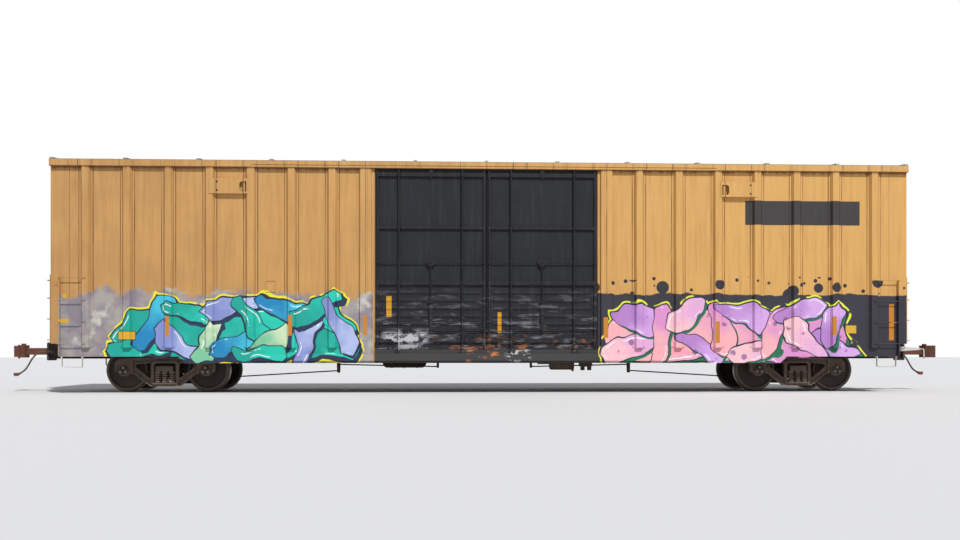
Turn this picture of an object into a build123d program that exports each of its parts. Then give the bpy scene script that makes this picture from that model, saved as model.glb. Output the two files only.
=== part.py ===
from build123d import *
import math
import os

os.makedirs("parts", exist_ok=True)

# A 60-foot high-cube railroad boxcar with two plug doors on each side.
# Millimetres. X runs along the car, Y across it, Z up. Z = 0 is the bottom of the wheel flanges.
# The A end is at +X and the B end, with the hand brake, at -X. Each piece is drawn on the near side of
# the A end, where Y is negative, and mirrored or turned to its other places.

# Wheels and axles
TREAD_R = 457.0
FLANGE_H = 29.0
BACK_Y = 678.0
RIM_W = 145.0
RIM_THICK = 61.0
HUB_R = 156.0
SEAT_R = 111.0
JOURNAL_R = 82.5
BEARING_R = 126.0
BEARING_W = 190.0
JOURNAL_OUT = 180.0
RUN_FIT = 0.3
AXLE_Z = TREAD_R + FLANGE_H
FRAME_Y = BACK_Y + RIM_W + JOURNAL_OUT

# Body, from its end, its inner width and the height of its couplers
END_X = 9355.0
RIB_OUT = 52.0
SHEET_T = 45.0
INSIDE_Y = 1448.0
WALL_T = 77.0
POST_D = 75.0
LIP_D = 100.0
COUPLER_Z = 905.0
SILL_D = 330.0
SIDE_SILL_H = 270.0
SILL_DROP = 140.0
FLOOR_T = 60.0
INSIDE_H = 3880.0
CHORD_H = 138.0
ROOF_RISE = 155.0
END_SHEET = END_X - RIB_OUT
INSIDE_X = END_SHEET - SHEET_T
SHEET_Y = INSIDE_Y + WALL_T
POST_Y = SHEET_Y + POST_D
LIP_Y = SHEET_Y + LIP_D
CENTRE_LOW = COUPLER_Z - SILL_D / 2
FLOOR_LOW = COUPLER_Z + SILL_D / 2
FLOOR_TOP = FLOOR_LOW + FLOOR_T
SILL_TOP = FLOOR_LOW - 10
SILL_LOW = SILL_TOP - SIDE_SILL_H
SILL_DEEP = SILL_LOW - SILL_DROP
EAVE_Z = FLOOR_TOP + INSIDE_H
CHORD_LOW = EAVE_Z - CHORD_H
RIDGE_Z = EAVE_Z + ROOF_RISE

# Trucks
OVERHANG = 2306.5
AXLE_DX = 889.0
PLATE_R = 200.0
PLATE_H = 55.0
TRUCK_X = END_X - OVERHANG
PLATE_Z = CENTRE_LOW - PLATE_H

# Thickness of the plate that the underframe is welded from
PLATE_T = 16.0


def outline(points, radii=0):
    """A flat face from its corners, sharp or rounded."""
    if radii:
        return make_face(FilletPolyline(*points, radius=radii, close=True))
    return make_face(Polyline(*points, close=True))


def rect(a0, a1, b0, b1):
    """The four corners of a rectangle."""
    return [(a0, b0), (a1, b0), (a1, b1), (a0, b1)]


def both_ways(half):
    """A closed outline from its right half, listed from below upwards."""
    return list(half) + [(-corner[0], *corner[1:]) for corner in reversed(half)]


def split(corners):
    """Points and corner radii from a table of corners."""
    return [corner[:2] for corner in corners], [corner[2] for corner in corners]


def raised(plane, face, thick):
    """A face stood up from a plane."""
    return extrude(plane * face, amount=thick, dir=plane.z_dir)


def prism_xz(points, y0, y1, radii=0):
    """A plate between y0 and y1 whose outline is given in X and Z."""
    return raised(Plane.XZ.offset(-y1), outline(points, radii), y1 - y0)


def prism_yz(points, x0, x1, radii=0):
    """A bar between x0 and x1 whose section is given in Y and Z."""
    return raised(Plane.YZ.offset(x0), outline(points, radii), x1 - x0)


def prism_xy(points, z0, z1, radii=0):
    """A bar between z0 and z1 whose plan is given in X and Y."""
    return raised(Plane.XY.offset(z0), outline(points, radii), z1 - z0)


def block(x0, x1, y0, y1, z0, z1):
    """A square-edged bar or plate by its six faces."""
    return Pos((x0 + x1) / 2, (y0 + y1) / 2, (z0 + z1) / 2) * Box(abs(x1 - x0), abs(y1 - y0), abs(z1 - z0))


def bar(p, q, r):
    """A round bar from p to q."""
    run = Vector(*q) - Vector(*p)
    return Solid.make_cylinder(r, run.length, Plane(origin=p, z_dir=run))


def bent_bar(points, bend, r):
    """A round bar or pipe bent to one radius at each corner of its run."""
    start = Plane(origin=points[0], z_dir=Vector(*points[1]) - Vector(*points[0]))
    return sweep(start * Circle(r), path=FilletPolyline(*points, radius=bend))


def turned_y(points, x, z, radii=0):
    """A shape turned about a line along Y, from (radius, y) points."""
    return revolve(Pos(x, 0, z) * outline(points, radii), Axis((x, 0, z), (0, 1, 0)), 360)


def turned_x(points, y, z, radii=0):
    """A shape turned about a line along X, from (x, radius) points."""
    return revolve(Pos(0, y, z) * outline(points, radii), Axis((0, y, z), (1, 0, 0)), 360)


def joined(pieces):
    """One solid from pieces that meet."""
    out = pieces[0]
    for piece in pieces[1:]:
        out = out + piece
    return out


def far(shape):
    """The same piece on the far side of the car."""
    return mirror(shape, about=Plane.XZ)


def other_end(shape):
    """The same piece mirrored to the other end of the car."""
    return mirror(shape, about=Plane.YZ)


def turned_round(shape):
    """The same piece turned half round to the B end, for what has a right and a left."""
    return Rot(0, 0, 180) * shape


def four(shape):
    """One piece for each corner of the car."""
    return [shape, far(shape), other_end(shape), far(other_end(shape))]


def save(name, *shapes):
    """Write one node, of one or more solids."""
    solids = []
    for shape in shapes:
        solids.extend(shape.solids())
    node = solids[0] if len(solids) == 1 else Compound(children=solids)
    node.label = name
    export_step(node, f"parts/{name}.step")


# Side walls: one slab for lining, frame and sheet, with pressed posts that lap over the side sill
DOOR_OPEN = 2497.0
DOOR_POST_W = 258.0
DOOR_POST_X = DOOR_OPEN + DOOR_POST_W
POST_FIRST = DOOR_POST_X + 595
POST_PITCH = 875.0
POST_FACE = 135.0
POST_BASE = 215.0
POST_LAP = 75.0
POST_SHEET = 6.0
POST_FLANGE = 42.0
CORNER_R = 28.0
SILL_IN = 185.0
SILL_END = END_X - SILL_IN
post_foot = SILL_TOP - POST_LAP
post_count = 1 + int((SILL_END - POST_BASE / 2 - POST_FIRST) / POST_PITCH)
posts = [POST_FIRST + POST_PITCH * i for i in range(post_count)]


def wall_post(x):
    """One pressed hat post, welded down by its two flanges and open at its foot so that water runs out."""
    base = POST_BASE / 2
    face = POST_FACE / 2
    sheet = 1.6 * POST_SHEET
    edge = base + POST_FLANGE
    flange_y = -SHEET_Y - POST_SHEET
    hat = [(edge, -SHEET_Y), (edge, flange_y), (base, flange_y), (face, -POST_Y)]
    core = [(base - sheet, flange_y), (face - sheet, -POST_Y + POST_SHEET)]
    post = prism_xy(both_ways(hat), post_foot, CHORD_LOW) - prism_xy(both_ways(core), post_foot, SILL_TOP)
    return Pos(x, 0, 0) * post


# The stop box that an opened door meets, between the third and the fourth post
STOP_LOW = 4300.0 - EAVE_Z
STOP_HIGH = 4630.0 - EAVE_Z
STOP_T = 12.0
STOP_HOLE_R = 20.0


def door_stop():
    """A bent plate that bridges two posts, with two drain holes and a pocket for the door's catch."""
    low = EAVE_Z + STOP_LOW
    high = EAVE_Z + STOP_HIGH
    x0 = posts[2] + POST_FACE / 2 - 18
    x1 = posts[3] + 10
    face_y = -POST_Y - STOP_T
    bend = [(-SHEET_Y, low), (face_y, low), (face_y, high), (-SHEET_Y, high), (-SHEET_Y, high - STOP_T)]
    bend += [(-POST_Y, high - STOP_T), (-POST_Y, low + STOP_T), (-SHEET_Y, low + STOP_T)]
    stop = prism_yz(bend, x0, x1)
    stop = stop - prism_xz(rect(x0 + 30, x0 + 180, low + 40, high - 70), face_y, -POST_Y, [12, 60, 60, 12])
    for z in (low + 68, high - 76):
        stop = stop - bar((x1 - 178, face_y, z), (x1 - 178, -POST_Y, z), STOP_HOLE_R)
    catch = block(x0 + 60, x0 + 110, -POST_Y + 10, -SHEET_Y, low + STOP_T, high - STOP_T)
    return stop + catch


wall = prism_xy(rect(DOOR_POST_X, END_X, -SHEET_Y, -INSIDE_Y), SILL_TOP, CHORD_LOW, [0, CORNER_R, 0, 0])
wall = wall - block(SILL_END, END_X, -SHEET_Y, -INSIDE_Y, SILL_TOP, FLOOR_LOW)
wall = joined([wall, door_stop()] + [wall_post(x) for x in posts])
save("side_wall_near_a", wall)
save("side_wall_near_b", other_end(wall))
save("side_wall_far_a", far(wall))
save("side_wall_far_b", far(other_end(wall)))

# Door frames: two wide posts, the strips that the doors seal on, and the threshold
DOOR_SEAL = 77.0
DOOR_FIT = 6.0
THRESHOLD_LOW = SILL_TOP - 200
THRESHOLD_H = 84.0
door_out = DOOR_OPEN - DOOR_SEAL
door_low = THRESHOLD_LOW + THRESHOLD_H + DOOR_FIT
post = prism_xy(rect(DOOR_OPEN, DOOR_POST_X, -POST_Y, -INSIDE_Y), THRESHOLD_LOW, CHORD_LOW, [22, 22, 0, 0])
strip = [
    (door_out + DOOR_FIT, -INSIDE_Y), (door_out + DOOR_FIT, -SHEET_Y - 5), (door_out + 20, -SHEET_Y - 20),
    (DOOR_OPEN, -SHEET_Y - 20), (DOOR_OPEN, -INSIDE_Y),
]
strip = prism_xy(strip, THRESHOLD_LOW, CHORD_LOW)
jamb = door_out + DOOR_FIT
sill_piece = block(-jamb, jamb, -SHEET_Y, -INSIDE_Y, THRESHOLD_LOW, THRESHOLD_LOW + THRESHOLD_H)
frame = joined([post, strip, other_end(post), other_end(strip), sill_piece])
save("door_frames", frame, far(frame))

# Plug doors: a skin, an edge channel all round, cross channels, and beads pressed in the lower half
DOOR_GAP = 8.0
DOOR_SKIN = 82.0
RIB_D = 45.0
EDGE_W = 55.0
EDGE_IN = 22.0
BEAD_D = 16.0
BEAD_H = 80.0
door_top = CHORD_LOW - DOOR_FIT
door_h = door_top - door_low
# Bottom and top of each cross channel, up from the door's bottom edge. The last one hangs from the top edge.
DOOR_RIBS = ((137.0, 245.0), (1385.0, 1495.0), (2600.0, 2680.0), (door_h - 176.0, door_h - 66.0))
# Height of each bead, up from the door's bottom edge
DOOR_BEADS = (380.0, 550.0, 720.0, 890.0, 1060.0, 1230.0)
skin_y = INSIDE_Y + DOOR_SKIN
rib_y = skin_y + RIB_D


def channel(low, high, draft=12):
    """A cross channel of a door, with the slope of its pressing."""
    section = [(-skin_y, low), (-rib_y, low + draft), (-rib_y, high - draft), (-skin_y, high)]
    return prism_yz(section, DOOR_GAP + EDGE_IN, door_out - EDGE_IN)


def edge_channel(x0, x1, draft=10):
    """An upright channel at the edge of a door."""
    section = [(x0, -skin_y), (x0 + draft, -rib_y), (x1 - draft, -rib_y), (x1, -skin_y)]
    return prism_xy(section, door_low + 50, door_top - 24)


def bead(z):
    """One drafted bead with round ends."""
    wide = door_out - DOOR_GAP - 2 * (EDGE_W + EDGE_IN) - 90
    flat = Pos((door_out + DOOR_GAP) / 2, z) * SlotOverall(wide, BEAD_H)
    return extrude(Plane.XZ.offset(skin_y) * flat, amount=BEAD_D, dir=(0, -1, 0), taper=50)


hanger_x = (door_out + DOOR_GAP) / 2
hanger = [
    (hanger_x - 42, door_top), (hanger_x + 42, door_top), (hanger_x + 42, door_top - 90),
    (hanger_x, door_top - 225), (hanger_x - 42, door_top - 90),
]
door = [block(DOOR_GAP, door_out, -skin_y, -INSIDE_Y, door_low, door_top)]
door += [channel(door_low + low, door_low + high) for low, high in DOOR_RIBS]
door += [edge_channel(DOOR_GAP + EDGE_IN, DOOR_GAP + EDGE_IN + EDGE_W)]
door += [edge_channel(door_out - EDGE_IN - EDGE_W, door_out - EDGE_IN)]
door += [bead(door_low + z) for z in DOOR_BEADS]
door += [prism_xz(hanger, -rib_y - 14, -skin_y, [0, 0, 20, 12, 20])]
door = joined(door)
save("plug_door_near_a", door)
save("plug_door_near_b", other_end(door))
save("plug_door_far_a", far(door))
save("plug_door_far_b", far(other_end(door)))

# Door locks: two upright pipes on each door in their guides, the cross rods, and the gear that works them
PIPE_R = 19.0
PIPE_IN = 522.0
PIPE_OUT = 510.0
ROD_R = 11.0
ROLLER_R = 40.0
GEAR_R = 95.0
# Height of each cross rod, up from the door's bottom edge
LOCK_RODS = (450.0, 1900.0)
pipe_y = rib_y + 25
rod_y = rib_y + 15
lock = []
for x in (DOOR_GAP + PIPE_IN, door_out - PIPE_OUT):
    lock.append(bar((x, -pipe_y, door_low - 45), (x, -pipe_y, CHORD_LOW - 10), PIPE_R))
    for low, high in DOOR_RIBS:
        middle = door_low + (low + high) / 2
        guide = [(x - 46, -rib_y), (x - 30, -pipe_y - 6), (x + 30, -pipe_y - 6), (x + 46, -rib_y)]
        lock.append(prism_xy(guide, middle - 26, middle + 26, [0, 14, 14, 0]))
    # The crank that swings the door out, and its roller on the lower track
    lock.append(prism_xy(rect(x - 30, x + 78, -pipe_y - 12, -pipe_y + 16), door_low - 50, door_low - 20, 12))
    lock.append(bar((x + 52, -pipe_y - 20, door_low - 48), (x + 52, -pipe_y + 8, door_low - 48), ROLLER_R))
for up in LOCK_RODS:
    z = door_low + up
    lock.append(bar((DOOR_GAP + 49, -rod_y, z), (door_out - 48, -rod_y, z), ROD_R))
    for x in (DOOR_GAP + 49, door_out - 48):
        hook = [(x - 22, z + 24), (x + 22, z + 24), (x + 22, z - 30), (x, z - 52), (x - 22, z - 30)]
        lock.append(prism_xz(hook, -rod_y - 10, -rib_y, [8, 8, 8, 12, 8]))
gear_z = door_low + LOCK_RODS[1]
lever_z = door_low + LOCK_RODS[0]
lock.append(bar((hanger_x, -rod_y - 16, gear_z), (hanger_x, -skin_y, gear_z), GEAR_R))
lock.append(bar((hanger_x, -rod_y - 34, gear_z), (hanger_x, -rod_y - 16, gear_z), 34))
lock.append(bar((hanger_x, -rod_y, lever_z), (hanger_x, -rod_y, gear_z), 13))
lever = [
    (hanger_x - 46, lever_z + 520), (hanger_x + 46, lever_z + 520), (hanger_x + 26, lever_z - 40),
    (hanger_x - 26, lever_z - 40),
]
lock.append(prism_xz(lever, -rod_y - 14, -rod_y + 2, [30, 30, 22, 22]))
lock.append(block(hanger_x - 60, hanger_x + 60, -rod_y, -rib_y, lever_z + 560, lever_z + 610))
lock = joined(lock)
save("door_locks", *four(lock))

# Top chords: a box along each eave, with a hooded retainer over the travel of the doors
TRACK_HALF = 5050.0
CHORD_FACE = 87.0
HOOD_H = 80.0
HOOD_BACK = 14.0
chord_y = SHEET_Y + CHORD_FACE
hood_z = EAVE_Z - HOOD_H
lip_y = -LIP_Y + HOOD_BACK
hood = [
    (-INSIDE_Y, CHORD_LOW), (-SHEET_Y - 15, CHORD_LOW), (-SHEET_Y - 15, hood_z), (lip_y + 12, hood_z),
    (lip_y + 12, CHORD_LOW), (lip_y, CHORD_LOW), (lip_y, hood_z), (-LIP_Y, hood_z), (-LIP_Y, EAVE_Z),
    (-INSIDE_Y, EAVE_Z),
]
run = prism_yz(rect(-chord_y, -INSIDE_Y, CHORD_LOW, EAVE_Z), TRACK_HALF, END_X, [12, 0, 0, 6])
chord = joined([prism_yz(hood, -TRACK_HALF, TRACK_HALF), run, other_end(run)])
save("top_chords", chord, far(chord))

# Side sills: a bent plate, deeper between the trucks, with the lower door track and the jacking pads
SILL_T = 20.0
SILL_FLANGE = 80.0
SLANT_X = TRUCK_X - 548
SLANT_W = 150.0
TRACK_LOW = SILL_DEEP + 50
PAD_HALF = 120.0
PAD_T = 20.0
track_top = SILL_LOW + 60


def sill_edge(lift):
    """The lower edge of the sill from end to end, raised by a lift."""
    right = [(SLANT_X, SILL_DEEP + lift), (SLANT_X + SLANT_W, SILL_LOW + lift), (SILL_END, SILL_LOW + lift)]
    return [(-x, z) for x, z in reversed(right)] + right


door_sill = [(SILL_END, SILL_TOP), (DOOR_POST_X, SILL_TOP), (DOOR_POST_X, THRESHOLD_LOW)]
sill_in = -SHEET_Y + SILL_T
web = prism_xz(sill_edge(0) + both_ways(door_sill), -SHEET_Y, sill_in)
flange = prism_xz(sill_edge(0) + list(reversed(sill_edge(PLATE_T))), sill_in, sill_in + SILL_FLANGE)
rail_y = -LIP_Y + 25
track = [
    (-SHEET_Y, track_top), (rail_y, track_top), (rail_y, track_top + 12), (rail_y - 12, track_top + 12),
    (rail_y - 12, track_top), (-LIP_Y, track_top), (-LIP_Y, TRACK_LOW), (rail_y - 13, TRACK_LOW),
    (rail_y - 13, track_top - 14), (-SHEET_Y, track_top - 14),
]
sill = [web, flange, prism_yz(track, -TRACK_HALF, TRACK_HALF)]
top_flange = block(DOOR_POST_X, SILL_END, sill_in, -INSIDE_Y, SILL_TOP - 20, SILL_TOP)
ledge = block(-DOOR_POST_X, DOOR_POST_X, sill_in, -INSIDE_Y, THRESHOLD_LOW - 20, THRESHOLD_LOW)
sill += [top_flange, other_end(top_flange), ledge]
for x in (-TRUCK_X, TRUCK_X):
    sill.append(block(x - PAD_HALF, x + PAD_HALF, -SHEET_Y + 5, sill_in + 75, SILL_LOW - PAD_T, SILL_LOW))
sill = joined(sill)
save("side_sills", sill, far(sill))

# End walls: a sheet with round ribs pressed across it, cut to the slope of the roof
RIB_COUNT = 12
RIB_FIRST = 220.0
RIB_PITCH = 290.0
RIB_CHORD = 190.0
RIB_SIDE = 148.0
RIB_RUNOUT = 115.0
ROOF_T = 14.0
rib_half = INSIDE_Y - RIB_SIDE
rib_r = (RIB_CHORD**2 / 4 + RIB_OUT**2) / (2 * RIB_OUT)
slope = ROOF_RISE / POST_Y


def end_rib(z):
    """One round rib that runs out to the sheet at both ends."""
    rib = bar((END_X - rib_r, -rib_half, z), (END_X - rib_r, rib_half, z), rib_r)
    flat = rib_half - RIB_RUNOUT
    keep = [(END_SHEET, -rib_half), (END_SHEET, rib_half), (END_X, flat), (END_X, -flat)]
    return rib & prism_xy(keep, z - RIB_CHORD, z + RIB_CHORD)


gable_edge = RIDGE_Z - ROOF_T - slope * INSIDE_Y
gable = [
    (-INSIDE_Y, FLOOR_LOW), (INSIDE_Y, FLOOR_LOW), (INSIDE_Y, gable_edge), (0, RIDGE_Z - ROOF_T),
    (-INSIDE_Y, gable_edge),
]
end = prism_yz(gable, INSIDE_X, END_SHEET)
end = joined([end] + [end_rib(FLOOR_LOW + RIB_FIRST + RIB_PITCH * i) for i in range(RIB_COUNT)])
save("end_wall_a", end)
save("end_wall_b", other_end(end))

# Roof: panels with two pressed fields each, under capped seams
PANELS = 12
SEAM_W = 70.0
SEAM_H = 45.0
FIELD_H = 30.0
FIELD_X = 280.0
FIELD_HALF = 190.0
panel = (2 * END_X - SEAM_W) / PANELS


def roof_band(x0, x1, y_half, lift, draft=0):
    """A strip across the roof, on both slopes, standing lift above the ridge line."""
    under = RIDGE_Z - ROOF_T
    top = y_half - draft
    half = [
        (0, under), (y_half, under - slope * y_half), (top, RIDGE_Z + lift - slope * top), (0, RIDGE_Z + lift),
    ]
    return prism_yz(half + [(-y, z) for y, z in reversed(half[1:-1])], x0, x1)


roof = [roof_band(-END_X, END_X, POST_Y, ROOF_T)]
for i in range(PANELS + 1):
    x = (i - PANELS / 2) * panel
    roof.append(roof_band(x - SEAM_W / 2, x + SEAM_W / 2, POST_Y, SEAM_H, 25))
for i in range(PANELS):
    for across in (-FIELD_X, FIELD_X):
        x = (i - (PANELS - 1) / 2) * panel + across
        roof.append(roof_band(x - FIELD_HALF, x + FIELD_HALF, POST_Y - 150, FIELD_H, 60))
roof = joined(roof) - block(-END_X, END_X, -LIP_Y, LIP_Y, EAVE_Z - ROOF_RISE, EAVE_Z)
save("roof", roof)

# Floor
save("floor", block(-INSIDE_X, INSIDE_X, -INSIDE_Y, INSIDE_Y, FLOOR_LOW, FLOOR_TOP))

# Centre sill: a hat section open below, with a striker casting and the coupler's pin at each end
CENTRE_HALF = 165.0
CENTRE_T = 15.0
CENTRE_FOOT = 70.0
DRAFT_X = END_X + 495
STRIKER_HALF = 260.0
STRIKER_T = 40.0
SHANK_HALF = 78.0
SHANK_W = 132.0
PIN_R = 40.0
PIN_X = END_X + 65
foot_y = CENTRE_HALF + CENTRE_FOOT
mouth_y = CENTRE_HALF - CENTRE_T
foot_top = CENTRE_LOW + PLATE_T
half_hat = [
    (mouth_y, FLOOR_LOW - CENTRE_T), (mouth_y, CENTRE_LOW), (foot_y, CENTRE_LOW), (foot_y, foot_top),
    (CENTRE_HALF, foot_top), (CENTRE_HALF, FLOOR_LOW),
]
centre = prism_yz(both_ways(half_hat), -DRAFT_X, DRAFT_X)
carrier_z = COUPLER_Z - SHANK_HALF - 5
striker = rect(-STRIKER_HALF, STRIKER_HALF, CENTRE_LOW - 40, FLOOR_LOW + 40)
striker = prism_yz(striker, DRAFT_X, DRAFT_X + STRIKER_T, 45)
carrier = block(DRAFT_X - STRIKER_T, DRAFT_X, -mouth_y, mouth_y, CENTRE_LOW, carrier_z)
mouth = rect(-mouth_y, mouth_y, carrier_z, FLOOR_LOW - 40)
striker = striker + carrier - prism_yz(mouth, DRAFT_X - STRIKER_T, DRAFT_X + STRIKER_T, [0, 0, 25, 25])
pin = bar((PIN_X, 0, CENTRE_LOW), (PIN_X, 0, FLOOR_LOW), PIN_R)
pin = pin + block(PIN_X - 130, PIN_X + 130, -CENTRE_HALF, CENTRE_HALF, CENTRE_LOW, CENTRE_LOW + PLATE_T)
save("center_sill", joined([centre, striker, other_end(striker), pin, other_end(pin)]))

# The brake pipe runs along the car at this place, through holes in the cross members
PIPE_LINE_Y = 300.0
PIPE_LINE_R = 21.0
PIPE_LINE_Z = COUPLER_Z - 5
hole = bar((0, -PIPE_LINE_Y, PIPE_LINE_Z), (END_X, -PIPE_LINE_Y, PIPE_LINE_Z), PIPE_LINE_R)


def cross_member(bottom, x, half_flange, half_web):
    """Half of a welded beam across the car: a web or box with flanges that follow its lower edge."""
    ledge_low = SILL_TOP - 20
    outer = bottom + [
        (-CENTRE_HALF, FLOOR_LOW), (-INSIDE_Y, FLOOR_LOW), (-INSIDE_Y, ledge_low), (sill_in, ledge_low),
    ]
    inner = [(y, z + PLATE_T) for y, z in bottom]
    inner += [(-CENTRE_HALF, FLOOR_LOW - PLATE_T), (sill_in, FLOOR_LOW - PLATE_T)]
    beam = prism_yz(outer, x - half_flange, x + half_flange) - hole
    for side in (-1, 1):
        beam = beam - prism_yz(inner, *sorted((x + side * half_web, x + side * half_flange)))
    return beam


# Body bolsters: a tapering box over each truck, with wear plates, and the upper centre plates
BOLSTER_HALF = 175.0
BOX_HALF = 110.0
SIDE_BEARING_Y = 635.0
SIDE_BEARING_Z = PLATE_Z + 27
bolster_low = [
    (sill_in, SILL_LOW + 60), (-900, SILL_LOW + 45), (-foot_y, CENTRE_LOW + PLATE_T),
    (-CENTRE_HALF, CENTRE_LOW + PLATE_T),
]
bolster = cross_member(bolster_low, TRUCK_X, BOLSTER_HALF, BOX_HALF)
wear_y = rect(TRUCK_X - 85, TRUCK_X + 85, -SIDE_BEARING_Y - 60, -SIDE_BEARING_Y + 60)
wear = prism_xy(wear_y, SIDE_BEARING_Z, SILL_LOW + 32)
save("body_bolsters", *four(bolster + wear))
plate = bar((TRUCK_X, 0, PLATE_Z), (TRUCK_X, 0, CENTRE_LOW), PLATE_R)
pad = rect(TRUCK_X - PLATE_R - 5, TRUCK_X + PLATE_R + 5, -foot_y, foot_y)
plate = plate + prism_xy(pad, CENTRE_LOW - 20, CENTRE_LOW, 40)
save("center_plates", plate, other_end(plate))

# Crossbearers: flanged plates between the centre sill and the side sills, and lighter cross ties between them
BEARER_FIRST = 900.0
BEARER_PITCH = 1750.0
TIE_H = 90.0
TIE_W = 50.0
bearers = []
for i in range(3):
    x = BEARER_FIRST + BEARER_PITCH * i
    low = [(sill_in, SILL_LOW + 10), (-CENTRE_HALF, CENTRE_LOW + PLATE_T)]
    beam = cross_member(low, x, 75, 6)
    beam = beam - block(x - 80, x + 80, sill_in, -INSIDE_Y, THRESHOLD_LOW - 20, FLOOR_LOW)
    bearers += four(beam)
for i in range(3):
    x = BEARER_FIRST + BEARER_PITCH * (i + 0.5)
    tie_low = FLOOR_LOW - TIE_H
    tie = [
        (x - 4, FLOOR_LOW), (x - 4, tie_low), (x + TIE_W, tie_low), (x + TIE_W, tie_low + 8),
        (x + 4, tie_low + 8), (x + 4, FLOOR_LOW),
    ]
    bearers += four(prism_xz(tie, -INSIDE_Y, -CENTRE_HALF))
save("crossbearers", *bearers)

# End sills: a channel across each end, between the side sills and a little inboard of the end wall
END_SILL_W = 120.0
end_sill_x = SILL_END
end_sill_low = SILL_LOW + PLATE_T
outer = rect(end_sill_x - END_SILL_W, end_sill_x, end_sill_low, FLOOR_LOW)
inner = rect(end_sill_x - END_SILL_W, end_sill_x - PLATE_T, end_sill_low + PLATE_T, FLOOR_LOW - PLATE_T)
end_sill = prism_xz(outer, sill_in, -CENTRE_HALF, [0, 20, 0, 0])
end_sill = end_sill - prism_xz(inner, sill_in, -CENTRE_HALF) - hole
end_sill = end_sill - block(end_sill_x - END_SILL_W, end_sill_x, sill_in, -INSIDE_Y, SILL_TOP - 20, FLOOR_LOW)
save("end_sills", *four(end_sill))

# Side ladders: a flat upright at each corner, and four hand holds bolted to it and to the last post
RUNG_R = 10.0
FOOT_T = 12.0
LADDER_X = END_X - 218
LADDER_W = 28.0
RUNG_UP = 12.0
RUNG_PITCH = 470.0
RUNGS = 4
rung_y = -POST_Y - FOOT_T
rung_x0 = posts[-1] + 33
rung_x1 = LADDER_X + LADDER_W / 2
rung_low = SILL_TOP + RUNG_UP
upright = rect(LADDER_X, LADDER_X + LADDER_W, SILL_LOW + 10, rung_low + RUNG_PITCH * (RUNGS - 1) + 24)
ladder = [prism_xz(upright, -POST_Y, -SHEET_Y, [0, 0, 14, 14])]
for i in range(RUNGS):
    z = rung_low + RUNG_PITCH * i
    ladder.append(bar((rung_x0, rung_y, z), (rung_x1, rung_y, z), RUNG_R))
    for x, side in ((rung_x0, -1), (rung_x1, 1)):
        drop = [(x + side * 12, z + 14), (x + side * 30, z), (x + side * 12, z - 14), (x - side * 24, z)]
        ladder.append(prism_xz(drop, rung_y, -POST_Y, [8, 8, 8, 6]))
ladder = joined(ladder)
save("side_ladders", *four(ladder))

# End ladders: two uprights on feet between the ribs, and four rungs
END_LADDER_OUT = 1500.0
END_LADDER_IN = 1000.0
STILE_W = 40.0
STILE_T = 16.0
END_RUNG_R = 10.0
stile_x = END_X + 4
rung_x = END_X + 85
# Height of each rung and of each foot, up from the floor's underside
END_RUNGS = (80.0, 530.0, 980.0, 1360.0)
END_FEET = (75.0, 365.0, 945.0, 1235.0)
stiles = []
for outer in (END_LADDER_OUT, END_LADDER_IN + STILE_W):
    stiles.append(block(stile_x, stile_x + STILE_T, -outer, STILE_W - outer, FLOOR_LOW + 10, FLOOR_LOW + 1480))
end_ladder = stiles
for up in END_FEET:
    z = FLOOR_LOW + up
    for wall_x, outer in ((END_X, END_LADDER_OUT), (END_SHEET, END_LADDER_IN + STILE_W)):
        end_ladder.append(block(wall_x, stile_x + STILE_T, -outer, STILE_W - outer, z - 20, z + 20))
for up in END_RUNGS:
    z = FLOOR_LOW + up
    start = -END_LADDER_OUT + 20
    stop = -END_LADDER_IN - 20
    run = [(stile_x, start, z), (rung_x, start, z), (rung_x, stop, z), (stile_x, stop, z)]
    end_ladder.append(bent_bar(run, 24, END_RUNG_R))
save("end_ladders", *four(joined(end_ladder)))

# Sill steps: flat bar bent to a stirrup and hung under the side sills at the corners
STEP_DROP = 235.0
STEP_WIDE = 450.0
STEP_T = 20.0
STEP_BEND = 45.0
STEP_TAB = 30.0
STEP_DEEP = 50.0
step_x1 = LADDER_X - 10
step_x0 = step_x1 - STEP_WIDE
step_z = SILL_LOW - STEP_DROP
stirrup = rect(step_x0, step_x1, step_z, SILL_LOW)
hollow = rect(step_x0 + STEP_T, step_x1 - STEP_T, step_z + STEP_T, SILL_LOW)
step = prism_xz(stirrup, -SHEET_Y, -SHEET_Y + STEP_DEEP, [STEP_BEND, STEP_BEND, 0, 0])
step = step - prism_xz(hollow, -SHEET_Y, -SHEET_Y + STEP_DEEP, [STEP_BEND - STEP_T, STEP_BEND - STEP_T, 0, 0])
for x0, x1 in ((step_x0 - STEP_TAB, step_x0), (step_x1, step_x1 + STEP_TAB)):
    step = step + block(x0, x1, -SHEET_Y, -SHEET_Y + STEP_DEEP, SILL_LOW - 12, SILL_LOW)
save("sill_steps", *four(step))

# Crossover platforms over the couplers: slotted decks on two brackets
DECK_HALF = 760.0
DECK_W = 250.0
DECK_T = 30.0
SLOTS = 13
SLOT_W = 9.0
deck_x = END_X + 40
deck_z = FLOOR_LOW + 80
deck = block(deck_x, deck_x + DECK_W, -DECK_HALF, DECK_HALF, deck_z, deck_z + DECK_T)
slot_pitch = (DECK_W - 29) / SLOTS
slots = []
for i in range(SLOTS):
    x = deck_x + 22 + slot_pitch * i
    slots.append(block(x, x + SLOT_W, 20 - DECK_HALF, -20, deck_z, deck_z + DECK_T))
for slot in slots:
    deck = deck - slot - far(slot)
arm_x = deck_x + DECK_W - 20
arm = [(END_SHEET, deck_z - 150), (END_SHEET + 16, deck_z - 150), (arm_x, deck_z - 22), (arm_x, deck_z)]
for y in (60 - DECK_HALF, DECK_HALF - 110):
    deck = deck + prism_xz(arm + [(END_SHEET, deck_z)], y, y + 50)
save("end_platforms", deck, other_end(deck))

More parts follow.
